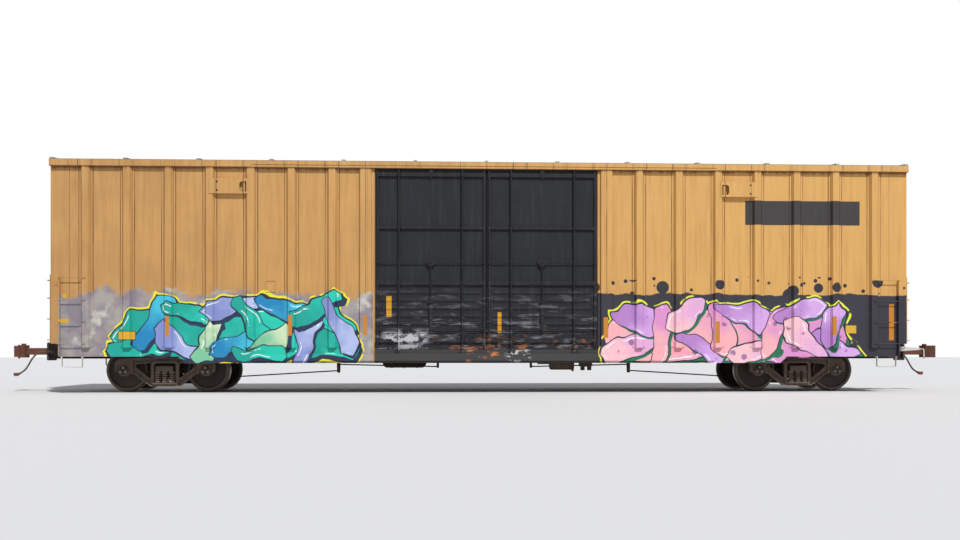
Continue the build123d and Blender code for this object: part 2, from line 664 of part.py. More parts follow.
# Hand brake on the B end: the gear housing on two rails, the rod down to its bell crank, and the wheel
BRAKE_Y = 620.0
BRAKE_UP = 1280.0
HOUSING_HALF = 150.0
BRAKE_WHEEL_R = 270.0
RIM_R = 14.0
brake_z = FLOOR_LOW + BRAKE_UP
house = rect(BRAKE_Y - HOUSING_HALF, BRAKE_Y + HOUSING_HALF, brake_z - 190, brake_z + 170)
house = prism_yz(house, -END_X - 180, -END_X - 20, [50, 50, 90, 90])
house = house + block(-END_X - 22, -END_X - 4, BRAKE_Y - 120, BRAKE_Y + 120, brake_z - 150, brake_z + 265)
for z in (brake_z - 70, brake_z + 210):
    house = house + block(-END_X - 20, -END_SHEET, BRAKE_Y - 120, BRAKE_Y + 120, z, z + 50)
house = house + bar((-END_X - 180, BRAKE_Y, brake_z), (-END_X - 230, BRAKE_Y, brake_z), 28)
rod_x = -END_X - 21
house = house + bar((rod_x, BRAKE_Y, brake_z - 140), (rod_x, BRAKE_Y, FLOOR_LOW - 60), 9)
house = house + block(rod_x - 12, -end_sill_x, BRAKE_Y - 20, BRAKE_Y + 20, FLOOR_LOW - 85, FLOOR_LOW - 55)
save("hand_brake", house)
rim_x = -END_X - 215
hub_x = -END_X - 230
wheel = [Pos(rim_x, BRAKE_Y, brake_z) * Rot(0, 90, 0) * Torus(BRAKE_WHEEL_R, RIM_R)]
wheel.append(bar((hub_x, BRAKE_Y, brake_z), (hub_x - 35, BRAKE_Y, brake_z), 46))
for i in range(5):
    angle = math.radians(90 + 72 * i)
    tip = (rim_x, BRAKE_Y + BRAKE_WHEEL_R * math.cos(angle), brake_z + BRAKE_WHEEL_R * math.sin(angle))
    wheel.append(bar((hub_x - 18, BRAKE_Y, brake_z), tip, 9))
save("brake_wheel", joined(wheel))

# Brake cylinder, reservoir and control valve, hung under the floor
CYLINDER_Y = -850.0
CYLINDER_Z = FLOOR_LOW - 430
CYLINDER_R = 150.0
CYLINDER_X = 1450.0
CYLINDER_L = 510.0
x = CYLINDER_X
head_x = x + CYLINDER_L
body = [
    (x, 0), (x, CYLINDER_R), (head_x, CYLINDER_R), (head_x, CYLINDER_R + 35), (head_x + 30, CYLINDER_R + 35),
    (head_x + 30, CYLINDER_R - 20), (head_x + 55, 0),
]
cylinder = turned_x(body, CYLINDER_Y, CYLINDER_Z, [0, 50, 0, 0, 0, 12, 0])
cylinder = cylinder + bar((x + 20, CYLINDER_Y, CYLINDER_Z), (x - 270, CYLINDER_Y, CYLINDER_Z), 24)
for foot_x in (x + 50, x + CYLINDER_L - 90):
    leg = [
        (CYLINDER_Y - 90, FLOOR_LOW), (CYLINDER_Y - 90, CYLINDER_Z), (CYLINDER_Y + 90, CYLINDER_Z),
        (CYLINDER_Y + 90, FLOOR_LOW),
    ]
    cylinder = cylinder + prism_yz(leg, foot_x, foot_x + 40)
save("brake_cylinder", cylinder)
TANK_Y = 760.0
TANK_Z = FLOOR_LOW - 350
TANK_R = 205.0
TANK_X = -1850.0
TANK_HALF = 520.0
half_tank = [(12, TANK_R + 14), (12, TANK_R), (TANK_HALF, TANK_R), (TANK_HALF, 0)]
tank = [(-along, r) for along, r in reversed(half_tank)] + half_tank
tank = turned_x([(TANK_X + along, r) for along, r in tank], TANK_Y, TANK_Z, [0, 110, 0, 0, 0, 0, 110, 0])
for x in (TANK_X - 300, TANK_X + 300):
    tank = tank + bar((x - 22, TANK_Y, TANK_Z), (x + 22, TANK_Y, TANK_Z), TANK_R + 8)
    tank = tank + block(x - 22, x + 22, TANK_Y - 150, TANK_Y + 150, TANK_Z, FLOOR_LOW)
save("air_reservoir", tank)
VALVE_X = 2270.0
VALVE_Y = -900.0
valve_z = FLOOR_LOW - 270
valve = block(VALVE_X - 70, VALVE_X + 70, VALVE_Y - 70, VALVE_Y + 70, valve_z - 60, FLOOR_LOW)
for side, length in ((-1, 150.0), (1, 130.0)):
    portion = rect(VALVE_X, VALVE_X + side * length, valve_z - 240, valve_z)
    valve = valve + prism_xz(portion, VALVE_Y - 95, VALVE_Y + 95, [0, 35, 35, 0])
    cap_x = VALVE_X + side * 75
    valve = valve + bar((cap_x, VALVE_Y, valve_z - 320), (cap_x, VALVE_Y, valve_z - 200), 48)
save("control_valve", valve)

# Brake levers and rods: a hanging bracket, its lever, and the rods to the truck and to the cylinder
LEVER_X = 3300.0
LEVER_Y = -550.0
LEVER_LOW = FLOOR_LOW - 650
# How far the rod to the truck ends short of the inner axle
ROD_SHORT = 559.0
rods = []
for side in (-1, 1):
    x = side * LEVER_X
    hanging = [(x - 55, FLOOR_LOW), (x + 55, FLOOR_LOW), (x + 36, LEVER_LOW), (x - 36, LEVER_LOW)]
    piece = prism_xz(hanging, LEVER_Y - 10, LEVER_Y + 10, [0, 0, 30, 30])
    lever = rect(x - 24, x + 24, LEVER_LOW + 10, LEVER_LOW + 240)
    piece = piece + prism_xz(lever, LEVER_Y - 42, LEVER_Y + 42, 20)
    truck_end = (side * (TRUCK_X - AXLE_DX - ROD_SHORT), -100, LEVER_LOW - 90)
    piece = piece + bar((x, LEVER_Y, LEVER_LOW + 50), truck_end, 14)
    piece = piece + bar((x, LEVER_Y, LEVER_LOW + 190), (side * 1050.0, LEVER_Y, LEVER_LOW + 140), 14)
    guide = rect(side * 1060.0 - 28, side * 1060.0 + 28, LEVER_LOW + 110, FLOOR_LOW)
    piece = piece + prism_xz(guide, LEVER_Y - 14, LEVER_Y + 14, [18, 18, 0, 0])
    rods.append(piece)
save("brake_rods", *rods)

# Brake pipe: along one side of the centre sill, under its middle, and on along the other side
COCK_X = DRAFT_X - 110
pipe_end = (COCK_X - 40, PIPE_LINE_Y, PIPE_LINE_Z)
dip_z = CENTRE_LOW - 40
route = [pipe_end, (60, PIPE_LINE_Y, PIPE_LINE_Z), (60, PIPE_LINE_Y, dip_z)]
route += [(-x, -y, z) for x, y, z in reversed(route)]
pipe = bent_bar(route, 90, PIPE_LINE_R)
cock = [(-60, 0), (-60, 34), (-30, 44), (30, 44), (60, 34), (160, 30), (160, 0)]
cock = turned_x([(COCK_X + along, r) for along, r in cock], PIPE_LINE_Y, PIPE_LINE_Z)
cock = cock + bar((COCK_X, PIPE_LINE_Y, PIPE_LINE_Z), (COCK_X, PIPE_LINE_Y, PIPE_LINE_Z + 78), 16)
handle = rect(COCK_X - 16, COCK_X + 16, PIPE_LINE_Y - 18, PIPE_LINE_Y + 120)
cock = cock + prism_xy(handle, PIPE_LINE_Z + 66, PIPE_LINE_Z + 78, 12)
bracket = block(DRAFT_X + 4, DRAFT_X + 24, STRIKER_HALF, PIPE_LINE_Y + 38, PIPE_LINE_Z - 38, PIPE_LINE_Z + 38)
cock = cock + bracket
save("brake_pipe", pipe + cock + turned_round(cock))

# Uncoupling levers: bent rods across the left half of each end, in two brackets
LEVER_R = 13.0
lever_x = DRAFT_X - 90
lever_z = COUPLER_Z + 55
grip_y = 45 - SHEET_Y
reach = [
    (lever_x, grip_y, lever_z - 200), (lever_x, grip_y, lever_z), (lever_x, -STRIKER_HALF - 70, lever_z),
    (DRAFT_X + 100, -STRIKER_HALF - 40, lever_z),
]
lever = bent_bar(reach, 45, LEVER_R)
arm_x = lever_x + 20
arm = [(end_sill_x, lever_z - 60), (arm_x, lever_z - 20), (arm_x, lever_z + 20), (end_sill_x, lever_z + 60)]
lever = lever + prism_xz(arm, -SHEET_Y + 195, -SHEET_Y + 210, [0, 16, 16, 0])
lever = lever + block(DRAFT_X + 5, DRAFT_X + 25, -STRIKER_HALF - 75, -STRIKER_HALF, lever_z - 20, lever_z + 20)
save("uncoupling_levers", lever, turned_round(lever))

# Couplers: a long shank with an eye on its pin, the head with its guard arm, and the closed knuckle
PULL_X = END_X + 1325
HEAD_L = 280.0
HEAD_HALF = 140.0
KNUCKLE_HALF = 128.0
EYE_R = 95.0


def coupler():
    """One coupler at the A end."""
    half = SHANK_W / 2
    head_x = PULL_X - HEAD_L
    low = COUPLER_Z - SHANK_HALF
    high = COUPLER_Z + SHANK_HALF
    shank = prism_yz(rect(-half, half, low, high), PIN_X, head_x + 20, 22)
    shank = shank + bar((PIN_X, 0, low), (PIN_X, 0, high), EYE_R)
    shank = shank - bar((PIN_X, 0, low), (PIN_X, 0, high), PIN_R + RUN_FIT)
    # Outlines from above: x back from the pulling face, y, corner radius
    head = (
        (HEAD_L, -half, 20), (250, -150, 30), (150, -200, 40), (20, -212, 16), (14, -170, 14), (105, -112, 40),
        (152, -40, 30), (152, 62, 12), (160, 150, 20), (205, 190, 30), (255, 140, 30), (HEAD_L, half, 20),
    )
    knuckle = (
        (165, 55, 5), (165, 150, 30), (120, 196, 40), (40, 176, 50), (0, 112, 34), (0, 40, 18), (34, 14, 10),
        (60, 66, 30), (110, 84, 20), (130, 55, 8),
    )
    pieces = [shank]
    for table, reach in ((head, HEAD_HALF), (knuckle, KNUCKLE_HALF)):
        points, radii = split([(PULL_X - x, y, r) for x, y, r in table])
        pieces.append(prism_xy(points, COUPLER_Z - reach, COUPLER_Z + reach, radii))
    pieces.append(bar((PULL_X - 128, 146, COUPLER_Z - 165), (PULL_X - 128, 146, COUPLER_Z + 152), 21))
    pieces.append(bar((PULL_X - 185, 20, COUPLER_Z), (PULL_X - 185, 20, COUPLER_Z + 178), 52))
    return joined(pieces)


save("coupler_a", coupler())
save("coupler_b", turned_round(coupler()))


# Trucks
def at_trucks(name, *shapes):
    """Write a truck's piece for both trucks, drawn about x = 0."""
    save(f"{name}_a", *[Pos(TRUCK_X, 0, 0) * shape for shape in shapes])
    save(f"{name}_b", *[Pos(-TRUCK_X, 0, 0) * shape for shape in shapes])


# Side frames: castings of flanged section, with a bolster opening, two windows and a jaw for each bearing
FRAME_W = 140.0
WEB_T = 44.0
RIM_FLANGE = 24.0
JAW_HALF = 137.0
SEAT_DOWN = 274.0
SEAT_T = 24.0
JAW_UP = 156.0
WINDOW_HALF = 235.0
COLUMN_W = 65.0
SEAT_HALF = 140.0
BEAM_X = 300.0
BEAM_H = 50.0
seat_z = AXLE_Z - SEAT_DOWN
jaw_z = AXLE_Z + JAW_UP
frame_top = AXLE_Z + 259
jaw_in = AXLE_DX - JAW_HALF
jaw_out = AXLE_DX + JAW_HALF
beam_low = seat_z + 118
# Right half of the outline: x, z, corner radius
half_frame = (
    (WINDOW_HALF + 80, seat_z - 75, 60), (jaw_in - 108, AXLE_Z - 92, 60), (jaw_in, AXLE_Z - 56, 10),
    (jaw_in, jaw_z, 10), (jaw_out, jaw_z, 10), (jaw_out, AXLE_Z - 40, 10), (jaw_out + 50, AXLE_Z - 40, 12),
    (jaw_out + 62, AXLE_Z + 150, 40), (jaw_out - 7, frame_top - 15, 60), (jaw_in + 47, frame_top, 80),
    (WINDOW_HALF + 165, frame_top + 22, 60),
)
frame_face = outline(*split(both_ways(half_frame)))
bolster_window = outline(rect(-WINDOW_HALF, WINDOW_HALF, seat_z, frame_top - 105), [8, 8, 30, 30])
window_in = WINDOW_HALF + COLUMN_W
arm_end = jaw_in - 112
right_window = [
    (window_in, seat_z + 75), (arm_end, AXLE_Z + 70), (arm_end, AXLE_Z + 136), (window_in, frame_top - 90),
]
right_window = outline(right_window, [30, 25, 20, 30])
windows = [bolster_window, right_window, mirror(right_window, about=Plane.YZ)]
flanges = (RIM_FLANGE + 32, RIM_FLANGE - 4, RIM_FLANGE - 4)
web_end = jaw_in - 52
frame_hollow = offset(frame_face, amount=-RIM_FLANGE) & outline(rect(-web_end, web_end, 0, 2 * AXLE_Z))
for window, width in zip(windows, flanges):
    frame_face = frame_face - window
    frame_hollow = frame_hollow - offset(window, amount=width)
frame_in = -FRAME_Y + FRAME_W / 2
frame_out = -FRAME_Y - FRAME_W / 2
pocket_d = (FRAME_W - WEB_T) / 2
side_frame = raised(Plane.XZ.offset(-frame_in), frame_face, FRAME_W)
side_frame = side_frame - raised(Plane.XZ.offset(-frame_in), frame_hollow, pocket_d)
side_frame = side_frame - raised(Plane.XZ.offset(-frame_out - pocket_d), frame_hollow, pocket_d)
seat = rect(-WINDOW_HALF - 20, WINDOW_HALF + 20, -FRAME_Y - SEAT_HALF, -FRAME_Y + SEAT_HALF)
side_frame = side_frame + prism_xy(seat, seat_z - SEAT_T, seat_z, 40)
for x in (-BEAM_X, BEAM_X):
    side_frame = side_frame + block(x - 34, x + 34, frame_in, frame_in + 30, beam_low - 16, beam_low)
at_trucks("side_frames", side_frame, far(side_frame))

# Truck bolster: a hollow casting with holes in its sides, a bowl for the centre plate, and side bearings
BOLSTER_W = 360.0
BOLSTER_T = 26.0
spring_top = AXLE_Z - 16
bowl_z = PLATE_Z - 30
bolster_end = FRAME_Y + 137
half_bolster = (
    (480, spring_top - 72, 120), (FRAME_Y - 170, spring_top, 60), (bolster_end, spring_top, 0),
    (bolster_end, spring_top + 118, 30), (FRAME_Y - 163, spring_top + 132, 80), (480, bowl_z, 100),
)
casting = outline(*split(both_ways(half_bolster)))
across = Plane.YZ.offset(-BOLSTER_W / 2)
core = offset(casting, amount=-BOLSTER_T)
beam = raised(across, casting, BOLSTER_W)
beam = beam - raised(Plane.YZ.offset(BOLSTER_T - BOLSTER_W / 2), core, BOLSTER_W - 2 * BOLSTER_T)
for y, wide in ((-660.0, 190.0), (-330.0, 230.0), (330.0, 230.0), (660.0, 190.0)):
    light = Pos(y, (spring_top + bowl_z) / 2 - abs(y) / 30) * SlotOverall(wide, 80)
    beam = beam - raised(across, light, BOLSTER_W)
bowl_top = PLATE_Z + 24
beam = beam + bar((0, 0, bowl_z), (0, 0, bowl_top), PLATE_R + 32)
beam = beam - bar((0, 0, PLATE_Z), (0, 0, bowl_top), PLATE_R + 6)
for y in (-SIDE_BEARING_Y, SIDE_BEARING_Y):
    beam = beam + prism_xy(rect(-110, 110, y - 48, y + 48), bowl_z - 45, SIDE_BEARING_Z - 24, 25)
    beam = beam + bar((0, y, SIDE_BEARING_Z - 24), (0, y, SIDE_BEARING_Z - 12), 40)
at_trucks("truck_bolster", beam)

# Springs: six groups at each end of the bolster, drawn as closed rings of their coils
SPRING_R = 66.0
COILS = 5
coil_pitch = (spring_top - seat_z) / COILS
spring_side = [(0, seat_z)]
for i in range(COILS):
    z = seat_z + coil_pitch * i
    spring_side += [(SPRING_R - 12, z), (SPRING_R, z + coil_pitch * 0.28), (SPRING_R, z + coil_pitch * 0.72)]
spring_side += [(SPRING_R - 12, spring_top), (0, spring_top)]
spring = revolve(Plane.XZ * outline(spring_side), Axis.Z, 360)
springs = []
for y in (-FRAME_Y, FRAME_Y):
    for dx in (-150.0, 0.0, 150.0):
        for dy in (-SPRING_R - 1, SPRING_R + 1):
            springs.append(Pos(dx, y + dy, 0) * spring)
at_trucks("springs", *springs)

# Bearings: a sealed cup on each journal, under the adapter that carries the side frame
ADAPTER_HALF = JAW_HALF - 7
bearings = []
bore_r = JOURNAL_R + RUN_FIT
seal_r = BEARING_R - 16
cup_end = BEARING_W / 2
half_cup = [(BEARING_R, cup_end - 18), (seal_r, cup_end - 14), (seal_r, cup_end), (bore_r, cup_end)]
cup = half_cup + [(r, -y) for r, y in reversed(half_cup)]
for x in (-AXLE_DX, AXLE_DX):
    saddle = rect(x - ADAPTER_HALF, x + ADAPTER_HALF, AXLE_Z + 50, jaw_z)
    saddle = prism_xz(saddle, -FRAME_Y - 80, -FRAME_Y + 80, [0, 0, 8, 8])
    saddle = saddle - bar((x, -FRAME_Y - BEARING_W, AXLE_Z), (x, -FRAME_Y + BEARING_W, AXLE_Z), BEARING_R - 6)
    bearings.append(turned_y([(r, y - FRAME_Y) for r, y in cup], x, AXLE_Z) + saddle)
    bearings.append(far(bearings[-1]))
at_trucks("bearings", *bearings)

# Brake beams: a channel braced by a bent rod, with a curved shoe hung before each wheel
SHOE_GAP = 8.0
SHOE_T = 58.0
SHOE_W = 90.0
SHOE_Y = BACK_Y + 90
beam_top = beam_low + BEAM_H
brace_z = beam_low + BEAM_H / 2
half_brace = [(BEAM_X - 95, 60, brace_z), (BEAM_X, SHOE_Y - 60, brace_z)]
brace = [(x, -y, z) for x, y, z in reversed(half_brace)] + half_brace
brake_beam = block(BEAM_X - 22, BEAM_X + 22, frame_in, -frame_in, beam_low, beam_top) + bent_bar(brace, 60, 14)
brake_beam = brake_beam + block(BEAM_X - 105, BEAM_X, -22, 22, beam_low + 5, beam_top - 5)
shoe_x = AXLE_DX - TREAD_R - SHOE_GAP - SHOE_T
for y in (-SHOE_Y, SHOE_Y):
    line = [(AXLE_DX, y - SHOE_W / 2, AXLE_Z), (AXLE_DX, y + SHOE_W / 2, AXLE_Z)]
    shoe = bar(*line, TREAD_R + SHOE_GAP + SHOE_T) - bar(*line, TREAD_R + SHOE_GAP)
    shoe = shoe & block(shoe_x, shoe_x + 160, y - SHOE_W / 2, y + SHOE_W / 2, seat_z + 50, seat_z + 260)
    head_x = shoe_x + 45
    head = [(BEAM_X, beam_low), (head_x, beam_low - 40), (head_x, beam_low + 100), (BEAM_X, beam_top)]
    brake_beam = brake_beam + shoe + prism_xz(head, y - 22, y + 22)
at_trucks("brake_beams", brake_beam, other_end(brake_beam))

# Wheelsets: the forged axle with its end caps, and two wheels with curved plates pressed on it
bearing_in = FRAME_Y - BEARING_W / 2
bearing_out = FRAME_Y + BEARING_W / 2
cap_y = bearing_out + 3
axle_side = [
    (0, 0), (86, 0), (94, BACK_Y - 110), (SEAT_R, BACK_Y - 38), (SEAT_R, BACK_Y + 172), (98, BACK_Y + 182),
    (98, bearing_in - 4), (JOURNAL_R, bearing_in - 4), (JOURNAL_R, cap_y), (100, cap_y), (100, cap_y + 21),
    (62, cap_y + 33), (0, cap_y + 33),
]
rim_in = TREAD_R - RIM_THICK
plate_r = (HUB_R + rim_in) / 2
# Section of a wheel: radius, distance out from its back, corner radius
wheel_side = (
    (SEAT_R, -8, 0), (HUB_R, -8, 8), (HUB_R + 34, 34, 25), (plate_r, 64, 60), (rim_in, 50, 18),
    (rim_in + 4, 0, 0), (TREAD_R + FLANGE_H, 2, 9), (TREAD_R + FLANGE_H, 22, 8), (TREAD_R + 1, 39, 12),
    (TREAD_R - 5, RIM_W, 6), (rim_in, RIM_W, 8), (rim_in - 3, 94, 18), (plate_r, 94, 60), (HUB_R + 34, 82, 25),
    (HUB_R, 152, 8), (SEAT_R, 152, 0),
)
axle_places = [TRUCK_X + AXLE_DX, TRUCK_X - AXLE_DX, AXLE_DX - TRUCK_X, -AXLE_DX - TRUCK_X]
for number, x in enumerate(axle_places, start=1):
    shaft = turned_y(axle_side, x, AXLE_Z)
    save(f"axle_{number}", shaft + far(shaft))
    points, radii = split([(r, BACK_Y + w, c) for r, w, c in wheel_side])
    wheel = turned_y(points, x, AXLE_Z, radii)
    save(f"wheels_{number}", wheel, far(wheel))


# Air hoses, each from the angle cock down to its hose coupling
def turn_radii(points):
    """The bend radius at each inner corner of a run of straight tube."""
    radii = []
    for i in range(1, len(points) - 1):
        a = Vector(*points[i]) - Vector(*points[i - 1])
        b = Vector(*points[i + 1]) - Vector(*points[i])
        turn = math.radians(a.get_angle(b))
        radii.append(0.45 * min(a.length, b.length) / math.tan(turn / 2))
    return radii


HOSE_R = 19.0
hose_points = [
    (9900, 300, 900), (9985, 300, 900), (10085, 302, 862), (10172, 305, 780), (10240, 308, 670),
    (10300, 311, 555), (10372, 314, 462), (10465, 316, 410),
]
radii = turn_radii(hose_points)
print("hose bend radii", [round(r) for r in radii])
path = FilletPolyline(*hose_points, radius=radii)
start = Plane(origin=hose_points[0], z_dir=Vector(*hose_points[1]) - Vector(*hose_points[0]))
hose = sweep(start * Circle(HOSE_R), path=path)
print("hose length", round(path.length))
tip = Vector(*hose_points[-1])
along = (tip - Vector(*hose_points[-2])).normalized()
grip = Solid.make_cylinder(26, 70, Plane(origin=tip, z_dir=along))
face = rect(tip.X + 36, tip.X + 132, tip.Z - 64, tip.Z + 12)
lug = prism_xz(face, tip.Y - 31, tip.Y + 29, [34, 34, 14, 14])
save("air_hose_a", hose)
save("gladhand_a", grip + lug)
save("air_hose_b", turned_round(hose))
save("gladhand_b", turned_round(grip + lug))
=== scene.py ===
import math

import bmesh
import bpy
import numpy as np
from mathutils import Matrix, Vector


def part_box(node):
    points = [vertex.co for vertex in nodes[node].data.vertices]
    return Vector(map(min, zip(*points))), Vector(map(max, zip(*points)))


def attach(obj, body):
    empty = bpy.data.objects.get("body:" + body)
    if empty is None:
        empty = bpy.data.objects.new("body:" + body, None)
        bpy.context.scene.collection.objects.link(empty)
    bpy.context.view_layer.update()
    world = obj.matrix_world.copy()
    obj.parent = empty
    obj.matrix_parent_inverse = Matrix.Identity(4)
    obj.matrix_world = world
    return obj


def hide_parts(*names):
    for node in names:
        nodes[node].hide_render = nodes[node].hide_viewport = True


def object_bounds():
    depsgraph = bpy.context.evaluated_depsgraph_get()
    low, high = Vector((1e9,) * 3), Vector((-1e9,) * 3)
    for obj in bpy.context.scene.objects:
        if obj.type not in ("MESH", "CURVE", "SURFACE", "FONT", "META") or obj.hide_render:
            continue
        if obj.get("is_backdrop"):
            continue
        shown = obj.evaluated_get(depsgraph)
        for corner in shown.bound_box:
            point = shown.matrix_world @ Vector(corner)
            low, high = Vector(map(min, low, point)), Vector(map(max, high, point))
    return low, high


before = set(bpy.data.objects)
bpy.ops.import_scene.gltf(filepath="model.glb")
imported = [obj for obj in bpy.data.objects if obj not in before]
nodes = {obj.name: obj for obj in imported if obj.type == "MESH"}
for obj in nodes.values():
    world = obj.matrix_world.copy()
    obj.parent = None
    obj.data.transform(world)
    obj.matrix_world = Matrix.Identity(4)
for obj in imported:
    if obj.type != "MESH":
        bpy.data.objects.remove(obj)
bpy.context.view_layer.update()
bpy.context.scene.view_settings.view_transform = "Standard"


# The trackside view
# The picture is taken almost square on to the side from about 22 m, at the height of the floor, with
# the horizon low in the frame, so the lens is level and shifted up.
camera_data = bpy.data.cameras.new("trackside")
camera_data.lens = 38.68
camera_data.sensor_width = 36.0
camera_data.shift_y = 0.0857
camera_data.clip_end = 400.0
camera = bpy.data.objects.new("trackside", camera_data)
camera.location = (-1.1639, -24.0, 0.8843)
camera.rotation_euler = (math.pi / 2, 0.0, -0.0453)
bpy.context.collection.objects.link(camera)
bpy.context.scene.camera = camera


# Air hoses
# A reinforced rubber hose hangs from the angle cock at each end of the brake pipe, beside the coupler,
# and ends in a cast hose coupling. Dusty, dull rubber with faint rings left by its mould.
class Palette:
    """Adds shader nodes to one tree. Each call returns the output that the next one takes."""

    def __init__(self, tree):
        self.tree = tree

    def node(self, kind, settings=None, **sockets):
        """One node, with its settings and its inputs by name."""
        made = self.tree.nodes.new("ShaderNode" + kind)
        for key, value in (settings or {}).items():
            setattr(made, key, value)
        for key, value in sockets.items():
            self.feed(made.inputs[key.replace("_", " ")], value)
        return made

    def feed(self, socket, value):
        """Link an output to the socket, or write a plain value in it."""
        if isinstance(value, bpy.types.NodeSocket):
            self.tree.links.new(value, socket)
        else:
            socket.default_value = value

    def calc(self, how, a, b=0.0):
        """a and b combined by one Math operation."""
        made = self.node("Math", {"operation": how})
        self.feed(made.inputs[0], a)
        self.feed(made.inputs[1], b)
        return made.outputs[0]

    def add(self, a, b):
        """a plus b."""
        return self.calc("ADD", a, b)

    def less(self, a, b):
        """a minus b."""
        return self.calc("SUBTRACT", a, b)

    def times(self, a, b):
        """a times b, which for two masks is where both are."""
        return self.calc("MULTIPLY", a, b)

    def mix(self, amount, a, b):
        """Colour a turned into colour b by the amount."""
        made = self.node("Mix", {"data_type": "RGBA", "clamp_factor": True})
        self.feed(made.inputs[0], amount)
        self.feed(made.inputs[6], a)
        self.feed(made.inputs[7], b)
        return made.outputs[2]

    def tint(self, tone, over, mask, share=1.0):
        """A tone turned into another one by a share of a mask."""
        return self.mix(self.times(mask, share), tone, over)

    def noise(self, where, scale, detail=4.0, rough=0.55):
        """Cloudy noise around one half."""
        made = self.node("TexNoise", Vector=where, Scale=scale, Detail=detail, Roughness=rough)
        return made.outputs["Fac"]

    def step(self, value, low, high):
        """0 below low, 1 above high, and an even slope between them."""
        made = self.node("MapRange", {"clamp": True}, Value=value)
        made.inputs["From Min"].default_value = low
        made.inputs["From Max"].default_value = high
        return made.outputs["Result"]

    def stretch(self, where, scale, shift=(0, 0, 0)):
        """The same place with its axes scaled and moved."""
        return self.node("Mapping", Vector=where, Scale=scale, Location=shift).outputs[0]

    def place(self):
        """The point on the piece, in metres."""
        return self.node("TexCoord").outputs["Object"]

    def parts(self, where):
        """X, Y and Z of a point."""
        made = self.node("SeparateXYZ", Vector=where)
        return made.outputs[0], made.outputs[1], made.outputs[2]

    def bump(self, height, depth, before=None):
        """A normal that the height bends, depth metres deep."""
        made = self.node("Bump", Height=height, Distance=depth, Strength=1.0)
        if before is not None:
            self.feed(made.inputs["Normal"], before)
        return made.outputs[0]


def colour(red, green, blue):
    """A colour judged, 0 to 255, as the linear light that a shader takes."""
    shown = [value / 255 for value in (red, green, blue)]
    linear = [((v + 0.055) / 1.055) ** 2.4 if v > 0.04 else v / 12.92 for v in shown]
    return (*linear, 1.0)


def finish_for(name, metallic=0.0):
    """A new material: the material, its palette and its Principled shader."""
    made = bpy.data.materials.new(name)
    made.use_nodes = True
    shader = made.node_tree.nodes["Principled BSDF"]
    shader.inputs["Metallic"].default_value = metallic
    return made, Palette(made.node_tree), shader


def dress(material, *names):
    """Give CAD nodes this material."""
    for name in names:
        mesh = nodes[name].data
        mesh.materials.clear()
        mesh.materials.append(material)


def make_weather():
    """Masks that every old surface shares: patches, runs, tooth and chips are noise at four scales, and
    edges is how far the rounded normal leans from the flat one."""
    group = bpy.data.node_groups.new("weather", "ShaderNodeTree")
    group.interface.new_socket("Vector", in_out="INPUT", socket_type="NodeSocketVector")
    for name in ("Patches", "Runs", "Tooth", "Chips", "Edges"):
        group.interface.new_socket(name, in_out="OUTPUT", socket_type="NodeSocketFloat")
    start = group.nodes.new("NodeGroupInput")
    end = group.nodes.new("NodeGroupOutput")
    p = Palette(group)
    where = start.outputs["Vector"]
    p.feed(end.inputs["Patches"], p.noise(where, 0.9, 6, 0.6))
    p.feed(end.inputs["Runs"], p.noise(p.stretch(where, (7.0, 7.0, 0.45)), 1.6, 7, 0.62))
    p.feed(end.inputs["Tooth"], p.noise(where, 70.0, 4, 0.6))
    specks = p.noise(where, 13.0, 9, 0.68)
    p.feed(end.inputs["Chips"], p.step(specks, 0.66, 0.72))
    soft = p.node("Bevel", {"samples": 4}, Radius=0.014).outputs[0]
    flat = p.node("NewGeometry").outputs["Normal"]
    lean = p.node("VectorMath", {"operation": "DOT_PRODUCT"})
    p.feed(lean.inputs[0], soft)
    p.feed(lean.inputs[1], flat)
    worn = p.step(lean.outputs["Value"], 0.99, 0.86)
    p.feed(end.inputs["Edges"], p.times(worn, p.step(specks, 0.42, 0.62)))
    return group


weather = make_weather()


def weathered(p, where):
    """The weather masks at a point, by name."""
    made = p.node("Group", {"node_tree": weather}, Vector=where)
    return {socket.name: socket for socket in made.outputs}


rubber, p, shader = finish_for("hose_rubber")
where = p.place()
w = weathered(p, where)
tone = p.mix(w["Patches"], colour(34, 33, 32), colour(78, 72, 66))
tone = p.tint(tone, colour(120, 108, 95), w["Runs"], 0.5)
p.feed(shader.inputs["Base Color"], tone)
shader.inputs["Roughness"].default_value = 0.78
p.feed(shader.inputs["Normal"], p.bump(p.noise(p.stretch(where, (160, 30, 160)), 1.0), 0.0015))

HOSE_D = 0.038
HOSE_RUN = (
    (9.900, 0.300, 0.900), (9.985, 0.300, 0.900), (10.085, 0.302, 0.862), (10.172, 0.305, 0.780),
    (10.240, 0.308, 0.670), (10.300, 0.311, 0.555), (10.372, 0.314, 0.462), (10.465, 0.316, 0.410),
)
for end_name, sign in (("a", 1.0), ("b", -1.0)):
    line = bpy.data.curves.new(f"hose_line_{end_name}", "CURVE")
    line.dimensions = "3D"
    line.bevel_depth = HOSE_D / 2
    line.bevel_resolution = 6
    line.resolution_u = 12
    line.use_fill_caps = True
    spline = line.splines.new("NURBS")
    spline.points.add(len(HOSE_RUN) - 1)
    for point, (x, y, z) in zip(spline.points, HOSE_RUN):
        point.co = (sign * x, sign * y, z, 1.0)
    spline.order_u = 3
    spline.use_endpoint_u = True
    line.materials.append(rubber)
    hose = bpy.data.objects.new(f"rubber_hose_{end_name}", line)
    bpy.context.collection.objects.link(hose)
    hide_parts(f"air_hose_{end_name}")
    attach(hose, "car")
    x, y, z = HOSE_RUN[0]


# Painted body
# Steel sheet, pressed posts and rolled chords, sprayed one ochre yellow. It has faded, is chalky under
# the eaves and dusty low down, rain has drawn soot down it, and its lower half has been sprayed over.
SHEET_Y = 1.525
POST_Y = 1.6
POST_FIRST = 3.35
POST_PITCH = 0.875
POSTS = 7
CHORD_Z = 4.87
SHEET_JOINT_X = 8.95


